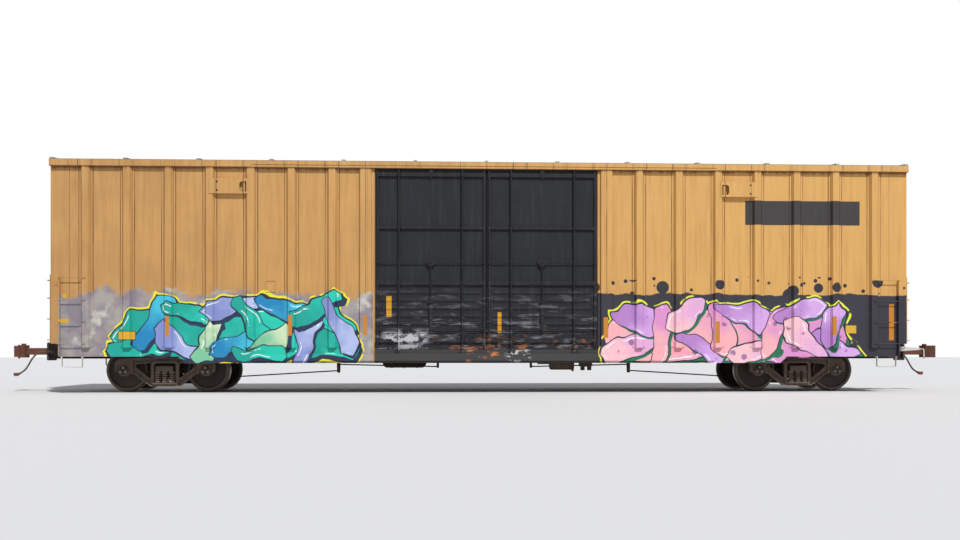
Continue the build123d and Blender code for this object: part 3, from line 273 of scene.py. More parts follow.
def make_bar():
    """The gap from a point to a tapered bar with slanted points. With u along the bar and v across it,
    the gap is the larger of |v| - wide (1 + taper u / long) and |u| + 0.6 |v| - long, and Round eases
    the corner between the two."""
    group = bpy.data.node_groups.new("sprayed_bar", "ShaderNodeTree")
    for name in ("X", "Z", "Cosine", "Sine", "Start U", "Start V", "Long", "Wide", "Taper", "Round"):
        group.interface.new_socket(name, in_out="INPUT", socket_type="NodeSocketFloat")
    for name in ("Gap", "Along"):
        group.interface.new_socket(name, in_out="OUTPUT", socket_type="NodeSocketFloat")
    take = group.nodes.new("NodeGroupInput").outputs
    end = group.nodes.new("NodeGroupOutput")
    p = Palette(group)
    u = p.add(p.times(take["X"], take["Cosine"]), p.times(take["Z"], take["Sine"]))
    v = p.less(p.times(take["Z"], take["Cosine"]), p.times(take["X"], take["Sine"]))
    u = p.less(u, take["Start U"])
    across = p.calc("ABSOLUTE", p.less(v, take["Start V"]))
    along = p.calc("DIVIDE", u, take["Long"])
    half = p.times(take["Wide"], p.add(1.0, p.times(take["Taper"], along)))
    side = p.less(across, half)
    tip = p.add(p.calc("ABSOLUTE", u), p.times(across, 0.6))
    tip = p.less(tip, take["Long"])
    corner = p.node("Math", {"operation": "SMOOTH_MAX"})
    p.feed(corner.inputs[0], side)
    p.feed(corner.inputs[1], tip)
    p.feed(corner.inputs[2], take["Round"])
    p.feed(end.inputs["Gap"], corner.outputs[0])
    p.feed(end.inputs["Along"], along)
    return group


bar_group = make_bar()
INK = colour(16, 20, 46)
TEAL = (colour(0, 158, 142), colour(26, 196, 172))
BLUE = (colour(14, 128, 178), colour(62, 186, 212))
LAVENDER = (colour(128, 140, 196), colour(176, 188, 228))
MINT = (colour(120, 190, 150), colour(204, 222, 184))
PINK = (colour(238, 172, 178), colour(214, 142, 196))
LILAC = (colour(176, 126, 194), colour(208, 164, 222))
BLUSH = (colour(240, 190, 196), colour(222, 168, 210))
# Bars from back to front: place along and up the wall, turn, half length, half width, taper, tints
LEFT_FIELD = (
    (-5.45, 1.30, 2, 2.55, 0.50, -0.10, TEAL),
    (-7.45, 1.02, 14, 0.74, 0.24, 0.45, TEAL),
    (-3.35, 1.02, -9, 0.62, 0.26, -0.35, TEAL),
    (-7.15, 1.52, 58, 0.72, 0.20, 0.40, BLUE),
    (-6.62, 1.06, -24, 0.66, 0.20, -0.45, LAVENDER),
    (-6.30, 1.70, -14, 0.70, 0.19, 0.35, TEAL),
    (-5.98, 1.20, 68, 0.62, 0.17, -0.30, MINT),
    (-5.52, 1.86, 10, 0.66, 0.17, -0.50, LAVENDER),
    (-5.45, 1.02, 18, 0.62, 0.20, 0.45, BLUE),
    (-5.02, 1.46, -52, 0.74, 0.17, 0.30, TEAL),
    (-4.62, 1.12, 38, 0.60, 0.19, -0.35, MINT),
    (-4.42, 1.80, -20, 0.62, 0.20, 0.45, BLUE),
    (-3.92, 1.12, 74, 0.62, 0.18, 0.25, LAVENDER),
    (-3.72, 1.80, 30, 0.66, 0.18, -0.45, TEAL),
    (-3.22, 1.44, -62, 0.66, 0.16, 0.40, LAVENDER),
    (-4.92, 0.86, 3, 0.55, 0.14, 0.30, TEAL),
)
RIGHT_FIELD = (
    (5.35, 1.22, 0, 2.75, 0.52, 0.00, PINK),
    (3.10, 0.98, 20, 0.62, 0.24, -0.40, BLUSH),
    (7.72, 1.00, -10, 0.62, 0.24, -0.45, LILAC),
    (3.30, 1.62, -16, 0.58, 0.26, 0.25, LILAC),
    (3.85, 1.24, 80, 0.72, 0.22, 0.20, PINK),
    (4.40, 1.70, 30, 0.52, 0.22, -0.30, BLUSH),
    (4.72, 0.98, -28, 0.60, 0.20, 0.35, LILAC),
    (5.18, 1.44, 96, 0.62, 0.22, -0.25, PINK),
    (5.68, 1.70, -24, 0.66, 0.22, 0.30, LILAC),
    (5.92, 0.96, 12, 0.64, 0.20, -0.35, BLUSH),
    (6.38, 1.34, 64, 0.64, 0.20, 0.30, PINK),
    (6.92, 1.76, 18, 0.58, 0.24, 0.35, LILAC),
    (7.10, 1.16, -40, 0.62, 0.20, -0.30, BLUSH),
    (7.66, 1.46, 84, 0.48, 0.20, 0.30, LILAC),
)


def swayed(p, flat, x, z, shift_x, shift_z):
    """X and Z bent by slow noise, so that straight bars come out as a hand sprays them."""
    bend_x = p.add(p.times(p.noise(flat, 1.3, 1.5), 0.5), shift_x - 0.25)
    bend_z = p.add(p.times(p.noise(flat, 1.6, 1.5), 0.5), shift_z - 0.25)
    return p.add(x, bend_x), p.add(z, bend_z)


def bar_at(p, at, bar, round_tip):
    """The gap to one bar and the place along it."""
    bx, bz, turn, long, wide, taper, _ = bar
    cosine = math.cos(math.radians(turn))
    sine = math.sin(math.radians(turn))
    made = p.node("Group", {"node_tree": bar_group}, X=at[0], Z=at[1])
    values = {
        "Cosine": cosine, "Sine": sine, "Long": long, "Wide": wide, "Taper": taper, "Round": round_tip,
        "Start U": bx * cosine + bz * sine, "Start V": bz * cosine - bx * sine,
    }
    for name, value in values.items():
        made.inputs[name].default_value = value
    return made.outputs["Gap"], made.outputs["Along"]


def sprayed(p, where, tone, bars, shade, rim, round_tip, spotted):
    """A tone with overlapping sprayed bars over it, each with an ink line, a cast side and a glint.
    The rim round them all is worked out before the bars, from a copy of the plane a hair to one side."""
    x, _, z = p.parts(where)
    flat = p.node("CombineXYZ", X=x, Y=z).outputs[0]
    whole = 1.0
    for shift in ((0.001, 0.001), (-0.054, 0.074)):
        at = swayed(p, flat, x, z, *shift)
        for bar in bars:
            gap, _ = bar_at(p, at, bar, round_tip)
            whole = p.calc("MINIMUM", gap, whole)
    glow = p.times(p.step(whole, 0.082, 0.070), p.step(p.noise(flat, 3.0, 2), 0.40, 0.46))
    tone = p.mix(glow, tone, rim)
    tone = p.mix(p.step(whole, 0.040, 0.032), tone, INK)
    mist = p.noise(flat, 2.1, 3)
    star = p.node("TexVoronoi", Vector=flat, Scale=3.1).outputs["Distance"]
    spots = p.times(p.step(star, 0.22, 0.18), p.step(p.noise(flat, 3.1, 2), 0.46, 0.50))
    bent = swayed(p, flat, x, z, 0.0, 0.0)
    cast_from = (p.less(bent[0], 0.055), p.add(bent[1], 0.075))
    for bar in bars:
        cast, _ = bar_at(p, cast_from, bar, round_tip)
        tone = p.mix(p.step(cast, 0.004, -0.004), tone, shade)
        gap, along = bar_at(p, bent, bar, round_tip)
        tone = p.mix(p.step(gap, 0.026, 0.019), tone, INK)
        blend = p.step(p.add(p.times(along, 0.5), mist), 0.30, 0.75)
        body = p.mix(blend, *bar[-1])
        if spotted:
            body = p.tint(body, colour(132, 82, 142), spots, 0.8)
        shine = p.times(p.step(gap, -0.072, -0.066), p.step(gap, -0.046, -0.052))
        shine = p.times(shine, p.step(mist, 0.55, 0.58))
        body = p.mix(shine, body, colour(236, 244, 246))
        tone = p.mix(p.step(gap, 0.003, -0.003), tone, body)
    return tone


def oblong(p, x, z, x0, x1, z0, z1, soft=0.004):
    """1 inside an upright rectangle, with a thin soft rim."""
    across = p.less((x1 - x0) / 2, p.calc("ABSOLUTE", p.less(x, (x0 + x1) / 2)))
    up = p.less((z1 - z0) / 2, p.calc("ABSOLUTE", p.less(z, (z0 + z1) / 2)))
    return p.step(p.calc("MINIMUM", across, up), 0.0, soft)


def any_oblong(p, x, z, places):
    """1 inside any of some upright rectangles."""
    mask = 0.0
    for place in places:
        mask = p.calc("MAXIMUM", oblong(p, x, z, *place), mask)
    return mask


def line_at(p, value, place, half):
    """1 within half a width of a place, fading over the same width again."""
    off = p.calc("ABSOLUTE", p.less(value, place))
    return p.step(off, 2 * half, half)


def patchy(p, w, dark, light, full=0.7):
    """Two tones in broad patches."""
    return p.mix(p.step(w["Patches"], 0.3, full), dark, light)


def body_tone(p, where, w):
    """Faded ochre: two yellows by patches, painted light that makes it brighter towards the A end, sooty in
    runs, dusty low down.
    """
    x, _, z = p.parts(where)
    tone = patchy(p, w, colour(172, 127, 74), colour(194, 147, 86), 0.72)
    # Painted light: the wall's colour grows brighter towards the A end, as the light falls on it.
    tone = p.tint(tone, colour(221, 170, 92), p.step(x, -9.0, 6.0), 0.7)
    tone = p.tint(tone, colour(128, 88, 50), p.step(w["Runs"], 0.5, 0.8), 0.35)
    chalk = p.times(p.step(w["Runs"], 0.5, 0.25), p.step(z, 1.2, 4.9))
    tone = p.tint(tone, colour(228, 188, 128), chalk, 0.3)
    dust = p.times(p.step(z, 2.1, 0.7), p.step(w["Patches"], 0.35, 0.7))
    return p.tint(tone, colour(138, 118, 94), dust, 0.35)


def post_lines(p, where, w, tone):
    """A tone with dark lines along both flanges and bends of each post, partly rust that creeps from the
    welds and partly painted shade in the creases, rust along the sheet's joint near the corner, and a band
    under the chord that is rust and the chord's painted shade. The distance from the first post is folded
    at half a pitch, so that one line serves all posts."""
    x, y, z = p.parts(where)
    run = p.calc("ABSOLUTE", x)
    from_first = p.add(p.less(run, POST_FIRST), POST_PITCH * 4)
    across = p.calc("PINGPONG", from_first, POST_PITCH / 2)
    # Painted shade with weld rust: dark lines at each post's flanges and bends, in the creases where shade
    # falls.
    flange = line_at(p, across, 0.150, 0.006)
    bend = p.times(line_at(p, across, 0.108, 0.004), 0.5)
    weld_rust_and_shade = p.calc("MAXIMUM", flange, bend)
    weld_rust_and_shade = p.times(weld_rust_and_shade, p.step(run, 8.80, 8.78))
    joint = p.times(line_at(p, run, SHEET_JOINT_X, 0.004), 0.8)
    weld_rust_and_shade = p.calc("MAXIMUM", weld_rust_and_shade, joint)
    outside = p.step(p.calc("ABSOLUTE", y), SHEET_Y - 0.025, SHEET_Y - 0.005)
    broken = p.step(w["Patches"], 0.25, 0.6)
    tone = p.tint(tone, colour(92, 58, 34), p.times(weld_rust_and_shade, outside), broken)
    # Painted shade of the chord, with rust runs: a dark band just under the chord.
    creep = p.add(z, p.times(w["Runs"], 0.14))
    under = p.times(p.step(creep, CHORD_Z + 0.015, CHORD_Z + 0.055), p.step(z, CHORD_Z + 0.02, CHORD_Z))
    return p.tint(tone, colour(112, 64, 36), under, 0.8)


def rusted(p, w, tone, amount=1.0):
    """A tone with bare, rusty corners and chips."""
    rust = p.mix(w["Tooth"], colour(84, 44, 26), colour(134, 76, 42))
    tone = p.tint(tone, rust, w["Edges"], 0.55 * amount)
    return p.tint(tone, rust, w["Chips"], 0.75 * amount)


# Reflector strips on the photographed side: left, right, bottom and top edge
STRIPS = (
    (-6.908, -6.824, 1.218, 1.668), (-4.291, -4.205, 1.239, 1.692), (-2.680, -2.595, 1.250, 1.693),
    (2.554, 2.660, 1.194, 1.653), (5.033, 5.130, 1.084, 1.567),
    (7.641, 7.740, 1.259, 1.679), (8.947, 9.062, 1.148, 1.956),
)
# Blank notice patches on the photographed side, with the same columns. The first has a dark border.
PATCHES = (
    (-7.918, -7.558, 1.158, 1.331), (7.969, 8.210, 1.303, 1.480), (-9.163, -8.953, 1.517, 1.603),
    (-9.100, -9.016, 2.051, 2.136),
)
BORDER = 0.015
BORDERED = tuple(edge + out for edge, out in zip(PATCHES[0], (-BORDER, BORDER, -BORDER, BORDER)))
BLANK_SIGN = (5.711, 8.286, 3.691, 4.229)
HAZE = (-9.16, -2.47, 0.5, 3.0)
HAZE_TOP = 2.20
BLACK_TOP = 2.17
BLACK_FROM_X = 2.36
# Round blots: cells to a metre, radius in a cell, and the height that they stop at
BLOTS = ((2.3, 0.32, 2.48), (4.6, 0.20, 2.56))


def dripped(p, where, tone):
    """The grounds sprayed under the two fields: a pale haze at the B end, black with blots at the A end."""
    x, _, z = p.parts(where)
    flat = p.stretch(where, (1, 0, 1))
    lumps = p.times(p.less(p.noise(flat, 1.5, 3), 0.5), 0.8)
    fine = p.times(p.less(p.noise(flat, 9.0, 3), 0.5), 0.25)
    haze = p.add(p.less(p.add(HAZE_TOP, lumps), z), fine)
    haze = p.times(p.step(haze, 0.0, 0.10), oblong(p, x, z, *HAZE))
    pale = p.mix(p.step(p.noise(flat, 2.2, 4), 0.42, 0.60), colour(128, 122, 136), colour(160, 156, 152))
    cloud = p.noise(p.stretch(flat, (1, 1, 1), shift=(4, 0, 2)), 1.7, 4)
    pale = p.mix(p.step(cloud, 0.56, 0.64), pale, colour(194, 192, 184))
    tone = p.tint(tone, pale, haze, 0.93)
    for size, cut, top in BLOTS:
        cell = p.node("TexVoronoi", Vector=p.stretch(flat, (1, 1, 1), shift=(size, 0, size)), Scale=size)
        blot = p.times(p.step(cell.outputs["Distance"], cut + 0.01, cut - 0.01), p.step(z, top, top - 0.02))
        tone = p.tint(tone, colour(24, 24, 34), blot, p.step(x, BLACK_FROM_X + 0.04, BLACK_FROM_X + 0.08))
    ground = p.less(p.add(BLACK_TOP, p.times(lumps, 0.35)), z)
    ground = p.times(p.step(ground, 0.0, 0.02), p.step(x, BLACK_FROM_X, BLACK_FROM_X + 0.04))
    return p.mix(ground, tone, p.mix(p.noise(flat, 2.0, 3), colour(18, 20, 28), colour(48, 44, 58)))


SILL_BLACK_X = 2.46
SILL_BLACK_TOP = 1.10
SILL_ORANGE = (-0.48, 0.30, 0.62, 1.10)
SILL_WHITE = (0.35, 0.98, 0.62, 1.10)


def door_sill(p, where, w, tone):
    """The sill's middle stretch and its door track are sprayed black, with splashes of other paint."""
    x, y, z = p.parts(where)
    run = p.calc("ABSOLUTE", x)
    along = p.step(run, SILL_BLACK_X, SILL_BLACK_X - 0.04)
    middle = p.times(along, p.step(z, SILL_BLACK_TOP, SILL_BLACK_TOP - 0.02))
    tone = p.mix(middle, tone, p.mix(w["Patches"], colour(34, 33, 36), colour(60, 58, 58)))
    splash = p.step(p.noise(p.stretch(where, (2.2, 1, 5.0)), 1.5, 5, 0.7), 0.52, 0.58)
    near = p.step(y, -1.40, -1.44)
    orange = p.times(p.times(splash, near), oblong(p, x, z, *SILL_ORANGE, 0.1))
    white = p.times(p.times(splash, near), oblong(p, x, z, *SILL_WHITE, 0.1))
    tone = p.mix(orange, tone, colour(196, 118, 62))
    return p.mix(white, tone, colour(206, 204, 204))


def wall_paint(name, art):
    """The body's paint. With art, the photographed side has its sprayed fields and blank sign."""
    made, p, shader = finish_for(name)
    where = p.place()
    w = weathered(p, where)
    tone = post_lines(p, where, w, body_tone(p, where, w))
    x, y, z = p.parts(where)
    if art:
        plain = tone
        tone = dripped(p, where, tone)
        tone = sprayed(p, where, tone, LEFT_FIELD, colour(12, 40, 74), colour(232, 222, 46), 0.03, False)
        tone = sprayed(p, where, tone, RIGHT_FIELD, colour(14, 108, 74), colour(222, 230, 60), 0.22, True)
        tone = p.mix(p.step(y, -1.47, -1.49), plain, tone)
    tone = door_sill(p, where, w, tone)
    if art:
        near = p.step(y, 0.025 - SHEET_Y, 0.005 - SHEET_Y)
        sign = p.times(oblong(p, x, z, *BLANK_SIGN), near)
        tone = p.mix(sign, tone, p.mix(w["Runs"], colour(30, 29, 30), colour(52, 48, 46)))
        strips = p.times(any_oblong(p, x, z, STRIPS), near)
        tone = p.mix(strips, tone, p.mix(w["Tooth"], colour(176, 108, 22), colour(206, 136, 34)))
        tone = p.mix(oblong(p, x, z, *BORDERED), tone, colour(30, 26, 24))
        patches = p.times(any_oblong(p, x, z, PATCHES), near)
        tone = p.mix(patches, tone, p.mix(w["Tooth"], colour(196, 148, 34), colour(226, 178, 44)))
    p.feed(shader.inputs["Base Color"], rusted(p, w, tone, 0.8))
    p.feed(shader.inputs["Roughness"], p.add(0.42, p.times(w["Patches"], 0.3)))
    waves = p.noise(p.stretch(where, (1.0, 1.0, 0.35)), 2.2, 2)
    ripple = p.bump(waves, 0.010)
    p.feed(shader.inputs["Normal"], p.bump(w["Tooth"], 0.0006, ripple))
    return made


near_paint = wall_paint("ochre_near", True)
far_paint = wall_paint("ochre_far", False)
dress(near_paint, "side_wall_near_a", "side_wall_near_b", "side_sills", "side_ladders", "door_frames")
dress(
    far_paint, "side_wall_far_a", "side_wall_far_b", "end_wall_a", "end_wall_b", "top_chords", "end_ladders"
)


# Body fittings
# Forged bolts with six-sided heads hold the feet of the posts, the ladders and the step tabs. A shallow
# card board and a round boss are fixed to the photographed side, and all are sprayed with the body.
def turned(profile, steps):
    """A grid of points: a profile of (radius, height) rows carried round the height axis."""
    radius, height = np.array(profile, dtype=float).T
    angle = np.linspace(0.0, 2 * math.pi, steps, endpoint=False)
    x = radius[:, None] * np.cos(angle)
    y = radius[:, None] * np.sin(angle)
    return np.stack([x, y, np.broadcast_to(height[:, None], x.shape)], axis=-1)


def stood(grid, places, way):
    """Copies of a grid with its height axis turned to point along a way, moved to places."""
    way = np.array(way, dtype=float)
    side = np.cross(way, (0.0, 0.0, 1.0) if abs(way[2]) < 0.9 else (1.0, 0.0, 0.0))
    frame_axes = np.stack([side, np.cross(way, side), way])
    return (grid @ frame_axes)[None] + np.array(places, dtype=float)[:, None, None, :]


def shell(name, stack, body, finish, smooth=True):
    """A piece from a stack of grids. In each, every row is joined to the next and closes on itself."""
    count, rows, steps, _ = stack.shape
    index = np.arange(count * rows * steps).reshape(count, rows, steps)
    beside = np.roll(index, -1, axis=2)
    quads = np.stack([index[:, :-1], beside[:, :-1], beside[:, 1:], index[:, 1:]], axis=-1).reshape(-1, 4)
    mesh = bpy.data.meshes.new(name)
    mesh.from_pydata(stack.reshape(-1, 3), [], quads)
    work = bmesh.new()
    work.from_mesh(mesh)
    bmesh.ops.remove_doubles(work, verts=work.verts, dist=1e-5)
    bmesh.ops.recalc_face_normals(work, faces=work.faces)
    work.to_mesh(mesh)
    work.free()
    mesh.polygons.foreach_set("use_smooth", np.full(len(mesh.polygons), smooth))
    mesh.materials.append(finish)
    piece = bpy.data.objects.new(name, mesh)
    bpy.context.collection.objects.link(piece)
    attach(piece, body)
    return piece


def bolt_head(radius):
    """A six-sided head with a worn crown on a round washer, as a profile."""
    return [
        (0.0, 0.0), (radius * 1.25, 0.0), (radius * 1.25, radius * 0.2), (radius, radius * 0.2),
        (radius, radius * 0.75), (radius * 0.8, radius * 0.95), (0.0, radius),
    ]


BOLT_R = 0.013
FLANGE_T = 0.006
FLANGE_BOLT_DX = 0.128
FLANGE_BOLT_Z = 1.005
RUNG_FOOT_T = 0.012
RUNG_FOOT_X = 8.60
RUNG_Z = [1.072 + 0.47 * i for i in range(4)]
STEP_TAB_X = (8.66, 9.14)
STEP_TAB_Z = 0.83
# Bolts through both flanges at the foot of each post, the feet of the rungs and the step tabs
post_x = [sign * (POST_FIRST + POST_PITCH * i) for sign in (-1, 1) for i in range(POSTS)]
near_bolts = [
    (x + dx, -SHEET_Y - FLANGE_T, FLANGE_BOLT_Z) for x in post_x for dx in (-FLANGE_BOLT_DX, FLANGE_BOLT_DX)
]
near_bolts += [(sign * RUNG_FOOT_X, -POST_Y - RUNG_FOOT_T, z) for sign in (-1, 1) for z in RUNG_Z]
near_bolts += [(sign * x, -SHEET_Y, STEP_TAB_Z) for sign in (-1, 1) for x in STEP_TAB_X]
far_bolts = np.array(near_bolts) * (1, -1, 1)
head = turned(bolt_head(BOLT_R), 6)
shell("body_bolts_near", stood(head, near_bolts, (0, -1, 0)), "car", near_paint, False)
shell("body_bolts_far", stood(head, far_bolts, (0, 1, 0)), "car", far_paint, False)
# The boss's profile: radius and height
BOSS = (
    (0.0, -0.004), (0.034, -0.004), (0.034, 0.010), (0.028, 0.014),
    (0.012, 0.014), (0.010, 0.009), (0.0, 0.008),
)
BOSS_AT = (-9.235, -SHEET_Y, 2.35)
shell("round_boss", stood(turned(BOSS, 24), [BOSS_AT], (0, -1, 0)), "car", near_paint)


def tray(x0, x1, z0, z1, y, rim, deep):
    """A shallow tray on the wall. Each ring is a rounded square with |x|^12 + |z|^12 = 1, from the middle
    of its back out over the rim and in to the middle of its face."""
    angle = np.linspace(0.0, 2 * math.pi, 48, endpoint=False)
    reach = (np.cos(angle) ** 12 + np.sin(angle) ** 12) ** (-1 / 12)
    rings = []
    for inset, out in ((1, 0), (0, 0), (0, deep), (rim, deep), (rim, deep / 3), (1, deep / 3)):
        x = (x0 + x1) / 2 + max((x1 - x0) / 2 - inset, 0) * reach * np.cos(angle)
        z = (z0 + z1) / 2 + max((z1 - z0) / 2 - inset, 0) * reach * np.sin(angle)
        rings.append(np.stack([x, np.full_like(x, y - out), z], axis=-1))
    return np.array(rings)[None]


CARD_BOARD = (-4.786, -4.562, 2.187, 2.434)
card_tray = tray(*CARD_BOARD, -SHEET_Y, rim=0.014, deep=0.016)
shell("card_board", card_tray, "car", near_paint, False)


# Plug doors
# Each is a pressed steel leaf with cross channels, sprayed satin black. The lower halves are scuffed
# pale by lift trucks, dust and overspray, with a painted sheen in the pale streaks, and the photographed
# side has two strips and a white splash.

# The reflector strips' and the splash's left, right, bottom and top edges
DOOR_STRIPS = ((-2.184, -2.066, 1.650, 2.105), (0.237, 0.325, 1.300, 1.760))
DOOR_SPLASH = (-2.314, -1.234, 0.90, 1.42)
door_black, p, shader = finish_for("door_black")
where = p.place()
w = weathered(p, where)
x, y, z = p.parts(where)
near = p.step(y, -1.4, -1.5)
tone = patchy(p, w, colour(17, 19, 24), colour(30, 32, 38))
tone = p.tint(tone, colour(72, 72, 76), p.step(w["Runs"], 0.52, 0.8), 0.35)
scuff_and_sheen = p.noise(p.stretch(where, (0.8, 1, 4.0)), 1.9, 8, 0.7)
low = p.step(z, 2.45, 1.3)
# Pale grey streaks low on the leaf: lift-truck scuffs, and partly a painted sheen.
tone = p.tint(tone, colour(136, 136, 144), p.step(scuff_and_sheen, 0.53, 0.64), p.times(low, 0.75))
warm = p.noise(p.stretch(where, (1.3, 1, 3.0), shift=(3, 0, 5)), 2.4, 6, 0.65)
warm_low = p.times(p.step(z, 1.35, 0.85), p.step(x, -1.4, -0.2))
tone = p.tint(tone, colour(176, 112, 66), p.step(warm, 0.54, 0.6), p.times(warm_low, 0.8))
smear = p.noise(p.stretch(where, (1, 1, 2.0)), 2.6, 6, 0.7)
splash = p.times(p.step(smear, 0.47, 0.53), near)
splash = p.times(splash, oblong(p, x, z, *DOOR_SPLASH, 0.16))
tone = p.tint(tone, colour(196, 196, 200), splash, 0.85)
strips = p.times(any_oblong(p, x, z, DOOR_STRIPS), near)
tone = p.mix(strips, tone, p.mix(w["Tooth"], colour(186, 128, 22), colour(214, 158, 36)))
p.feed(shader.inputs["Base Color"], rusted(p, w, tone, 0.45))
p.feed(shader.inputs["Roughness"], p.add(0.48, p.times(w["Patches"], 0.3)))
shader.inputs["Specular IOR Level"].default_value = 0.28
dents = p.bump(p.noise(where, 2.6, 2), 0.008)
p.feed(shader.inputs["Normal"], p.bump(w["Tooth"], 0.0006, dents))
dress(door_black, *(f"plug_door_{side}_{end_name}" for side in ("near", "far") for end_name in ("a", "b")))
dress(door_black, "door_locks")


# Roof
# Twelve galvanised panels, never painted, with their seams folded over carlines. They are dull,
# streaked with dirt, and rusty at chips and edges.
zinc, p, shader = finish_for("roof_zinc", 0.35)
where = p.place()
w = weathered(p, where)
tone = patchy(p, w, colour(112, 110, 106), colour(146, 143, 136))
tone = p.tint(tone, colour(92, 76, 60), p.step(w["Runs"], 0.5, 0.75), 0.45)
p.feed(shader.inputs["Base Color"], rusted(p, w, tone, 0.8))
p.feed(shader.inputs["Roughness"], p.add(0.45, p.times(w["Patches"], 0.25)))
p.feed(shader.inputs["Normal"], p.bump(w["Tooth"], 0.0008))
dress(zinc, "roof")


# Underframe
# Welded plate and rolled sections in dull black, grey with road dust and brake dust underneath.
under_black, p, shader = finish_for("underframe_black")
where = p.place()
w = weathered(p, where)
tone = patchy(p, w, colour(40, 36, 33), colour(70, 62, 54))
tone = p.tint(tone, colour(98, 84, 70), p.step(w["Runs"], 0.5, 0.8), 0.5)
p.feed(shader.inputs["Base Color"], rusted(p, w, tone, 0.9))
shader.inputs["Roughness"].default_value = 0.82
p.feed(shader.inputs["Normal"], p.bump(w["Tooth"], 0.0012))
dress(under_black, "center_sill", "body_bolsters", "center_plates", "crossbearers", "end_sills")
dress(under_black, "floor", "brake_pipe")


# Trucks, couplers and brake gear
# Cast steel with a brown, dusty rust all over, darker on the brake gear and redder on the couplers. Their
# flanges and corners are rubbed lighter, and dust lies on every upper face.
def casting(name, dark, light, edge, depth=0.003):
    """A sand-cast and rusted finish from its dark, light and rubbed tones."""
    made, p, shader = finish_for(name, 0.1)
    where = p.place()
    w = weathered(p, where)
    tone = patchy(p, w, dark, light)
    tone = p.tint(tone, dark, p.step(p.noise(where, 9.0, 6), 0.45, 0.7), 0.5)
    _, _, up = p.parts(p.node("NewGeometry").outputs["Normal"])
    tone = p.tint(tone, colour(132, 116, 100), p.step(up, 0.5, 0.95), 0.5)
    tone = p.tint(tone, edge, w["Edges"], 0.8)
    p.feed(shader.inputs["Base Color"], tone)
    p.feed(shader.inputs["Roughness"], p.add(0.66, p.times(w["Tooth"], 0.3)))
    sand = p.bump(p.noise(where, 22.0, 5), depth * 1.3)
    p.feed(shader.inputs["Normal"], p.bump(w["Tooth"], depth, sand))
    return made


frame_rust = casting("frame_rust", colour(74, 62, 54), colour(114, 98, 86), colour(164, 146, 128))
bearing_rust = casting("bearing_rust", colour(70, 58, 50), colour(112, 92, 78), colour(158, 138, 120))
gear_rust = casting("gear_rust", colour(46, 36, 31), colour(82, 62, 50), colour(112, 86, 68))
coupler_rust = casting("coupler_rust", colour(82, 48, 36), colour(118, 72, 52), colour(150, 108, 84))
for end_name in ("a", "b"):
    dress(frame_rust, f"side_frames_{end_name}", f"truck_bolster_{end_name}")
    dress(bearing_rust, f"bearings_{end_name}")
    dress(gear_rust, f"brake_beams_{end_name}")
    dress(coupler_rust, f"coupler_{end_name}", f"gladhand_{end_name}")
dress(gear_rust, "brake_cylinder", "air_reservoir", "control_valve", "brake_rods")
dress(gear_rust, "hand_brake", "brake_wheel")


# Springs
# Each bolster end stands on six open coils wound from round spring steel, with their ends ground flat.
def coil(radius, wire, low, high, turns):
    """A round wire carried up a helix. The height rises evenly between two flat end turns and is held
    between the seats, as a spring's ends are ground."""
    rows = 34 * turns
    along = np.linspace(0.0, 1.0, rows)
    angle = 2 * math.pi * turns * along
    rise = low + wire / 2 + (high - low - wire) * np.clip((along * turns - 0.6) / (turns - 1.2), 0.0, 1.0)
    section = np.linspace(0.0, 2 * math.pi, 10, endpoint=False)
    thick = np.full(rows, wire / 2)
    thick[[0, -1]] = 0.0
    out = radius + thick[:, None] * np.cos(section)
    x = out * np.cos(angle)[:, None]
    y = out * np.sin(angle)[:, None]
    z = rise[:, None] + thick[:, None] * np.sin(section)
    return np.stack([x, y, z], axis=-1)


spring_rust = casting(
    "spring_rust", colour(88, 76, 66), colour(138, 122, 106), colour(176, 160, 142), depth=0.0015
)
TRUCK_X = 7.0485
FRAME_Y = 1.003
COIL_DX = 0.15
COIL_DY = 0.067
COIL_R = 0.066
COIL_WIRE = 0.027
INNER_R = 0.024
INNER_WIRE = 0.015
for end_name, sign in (("a", 1.0), ("b", -1.0)):
    box_low, box_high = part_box(f"springs_{end_name}")
    outer = coil(COIL_R - COIL_WIRE / 2, COIL_WIRE, box_low[2], box_high[2], 6)
    inner = coil(INNER_R, INNER_WIRE, box_low[2], box_high[2], 9)
    seats = [
        (sign * TRUCK_X + dx, side * FRAME_Y + dy, 0.0)
        for side in (-1, 1) for dx in (-COIL_DX, 0.0, COIL_DX) for dy in (-COIL_DY, COIL_DY)
    ]
    places = np.array(seats)[:, None, None, :]
    piece = shell(f"coil_springs_{end_name}", outer[None] + places, f"truck_{end_name}", spring_rust)
    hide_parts(f"springs_{end_name}")
    shell(f"inner_coils_{end_name}", inner[None] + places, f"truck_{end_name}", spring_rust)


# Wheelsets
# Wheels cast in one piece and pressed on the axle. The plates are rusty brown, the tread and the flange
# are rolled bright by the rail, and three bolts hold the cap on each bearing.
AXLE_Z = 0.486
AXLE_DX = 0.889
CAP_Y = 1.131
CAP_CIRCLE_R = 0.062
CAP_BOLT_R = 0.019


def wheel_finish(name, middle):
    """Rust on the plate, lighter dust towards the rim, and a bright tread past 0.4545 m from the axle."""
    made, p, shader = finish_for(name, 0.2)
    where = p.place()
    w = weathered(p, where)
    x, _, z = p.parts(where)
    dx = p.less(x, middle)
    dz = p.less(z, AXLE_Z)
    radius = p.calc("SQRT", p.add(p.times(dx, dx), p.times(dz, dz)))
    tone = patchy(p, w, colour(32, 25, 21), colour(66, 53, 44))
    rim = p.times(p.step(radius, 0.385, 0.41), 0.7)
    tone = p.mix(rim, tone, p.mix(w["Tooth"], colour(80, 68, 58), colour(116, 101, 87)))
    tone = p.tint(tone, colour(140, 124, 108), w["Edges"], 0.5)
    tread = p.step(radius, 0.4525, 0.4545)
    tone = p.mix(tread, tone, p.mix(w["Tooth"], colour(120, 112, 104), colour(160, 152, 144)))
    p.feed(shader.inputs["Base Color"], tone)
    p.feed(shader.inputs["Metallic"], p.times(tread, 0.85))
    p.feed(shader.inputs["Roughness"], p.less(0.75, p.times(tread, 0.4)))
    p.feed(shader.inputs["Normal"], p.bump(w["Tooth"], 0.0015))
    return made


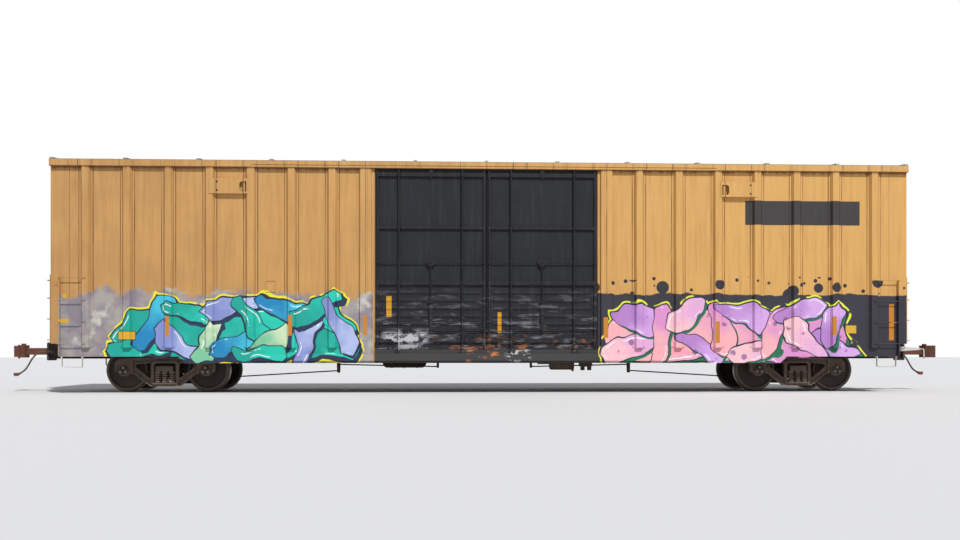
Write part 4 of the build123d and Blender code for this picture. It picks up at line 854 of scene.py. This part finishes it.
bright_bolts = casting(
    "bright_bolts", colour(126, 118, 108), colour(168, 160, 148), colour(196, 190, 180), depth=0.0008
)
axle_x = [truck_x + dx for truck_x in (TRUCK_X, -TRUCK_X) for dx in (AXLE_DX, -AXLE_DX)]
angle = np.radians([90.0, 210.0, 330.0])
for number, middle in enumerate(axle_x, start=1):
    dress(wheel_finish(f"wheel_rust_{number}", middle), f"axle_{number}", f"wheels_{number}")
    ring_x = middle + CAP_CIRCLE_R * np.cos(angle)
    ring_z = AXLE_Z + CAP_CIRCLE_R * np.sin(angle)
    heads = []
    for side in (-1, 1):
        places = np.stack([ring_x, np.full(3, side * CAP_Y), ring_z], axis=-1)
        heads.append(stood(turned(bolt_head(CAP_BOLT_R), 12), places, (0, side, 0)))
    shell(f"cap_bolts_{number}", np.concatenate(heads), f"wheelset_{number}", bright_bolts, False)


# Steps and levers
# Bent flat bar and round bar, bolted on and sprayed white so that they are found in the dark.
safety_white, p, shader = finish_for("safety_white")
where = p.place()
w = weathered(p, where)
tone = patchy(p, w, colour(190, 188, 182), colour(214, 212, 206))
p.feed(shader.inputs["Base Color"], rusted(p, w, tone))
shader.inputs["Roughness"].default_value = 0.5
p.feed(shader.inputs["Normal"], p.bump(w["Tooth"], 0.0008))
dress(safety_white, "sill_steps", "uncoupling_levers", "end_platforms")


# Studio
# A pale floor under the wheels and soft light from the photographer's side, high and to the right.
FLOOR_REACH = 160.0
FLOOR_Z = -0.002
floor_mesh = bpy.data.meshes.new("studio_floor")
corners = [(x * FLOOR_REACH, y * FLOOR_REACH, FLOOR_Z) for x, y in ((-1, -1), (1, -1), (1, 1), (-1, 1))]
floor_mesh.from_pydata(corners, [], [(0, 1, 2, 3)])
floor_piece = bpy.data.objects.new("studio_floor", floor_mesh)
bpy.context.collection.objects.link(floor_piece)
pale, p, shader = finish_for("pale_floor")
shader.inputs["Base Color"].default_value = (0.72, 0.72, 0.72, 1.0)
shader.inputs["Roughness"].default_value = 0.9
floor_mesh.materials.append(pale)
floor_piece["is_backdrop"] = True

world = bpy.data.worlds.new("studio")
world.use_nodes = True
bpy.context.scene.world = world
p = Palette(world.node_tree)
back = world.node_tree.nodes["Background"]
path = p.node("LightPath")
seen = p.calc("MAXIMUM", path.outputs["Is Camera Ray"], path.outputs["Is Glossy Ray"])
p.feed(back.inputs["Color"], p.mix(seen, (0.27, 0.28, 0.31, 1.0), (1.0, 1.0, 1.0, 1.0)))
back.inputs["Strength"].default_value = 1.0

sun_data = bpy.data.lights.new("soft_sun", "SUN")
sun_data.energy = 3.1
sun_data.angle = math.radians(2.5)
sun = bpy.data.objects.new("soft_sun", sun_data)
sun.rotation_euler = (math.radians(40), 0.0, math.radians(20))
bpy.context.collection.objects.link(sun)


low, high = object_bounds()
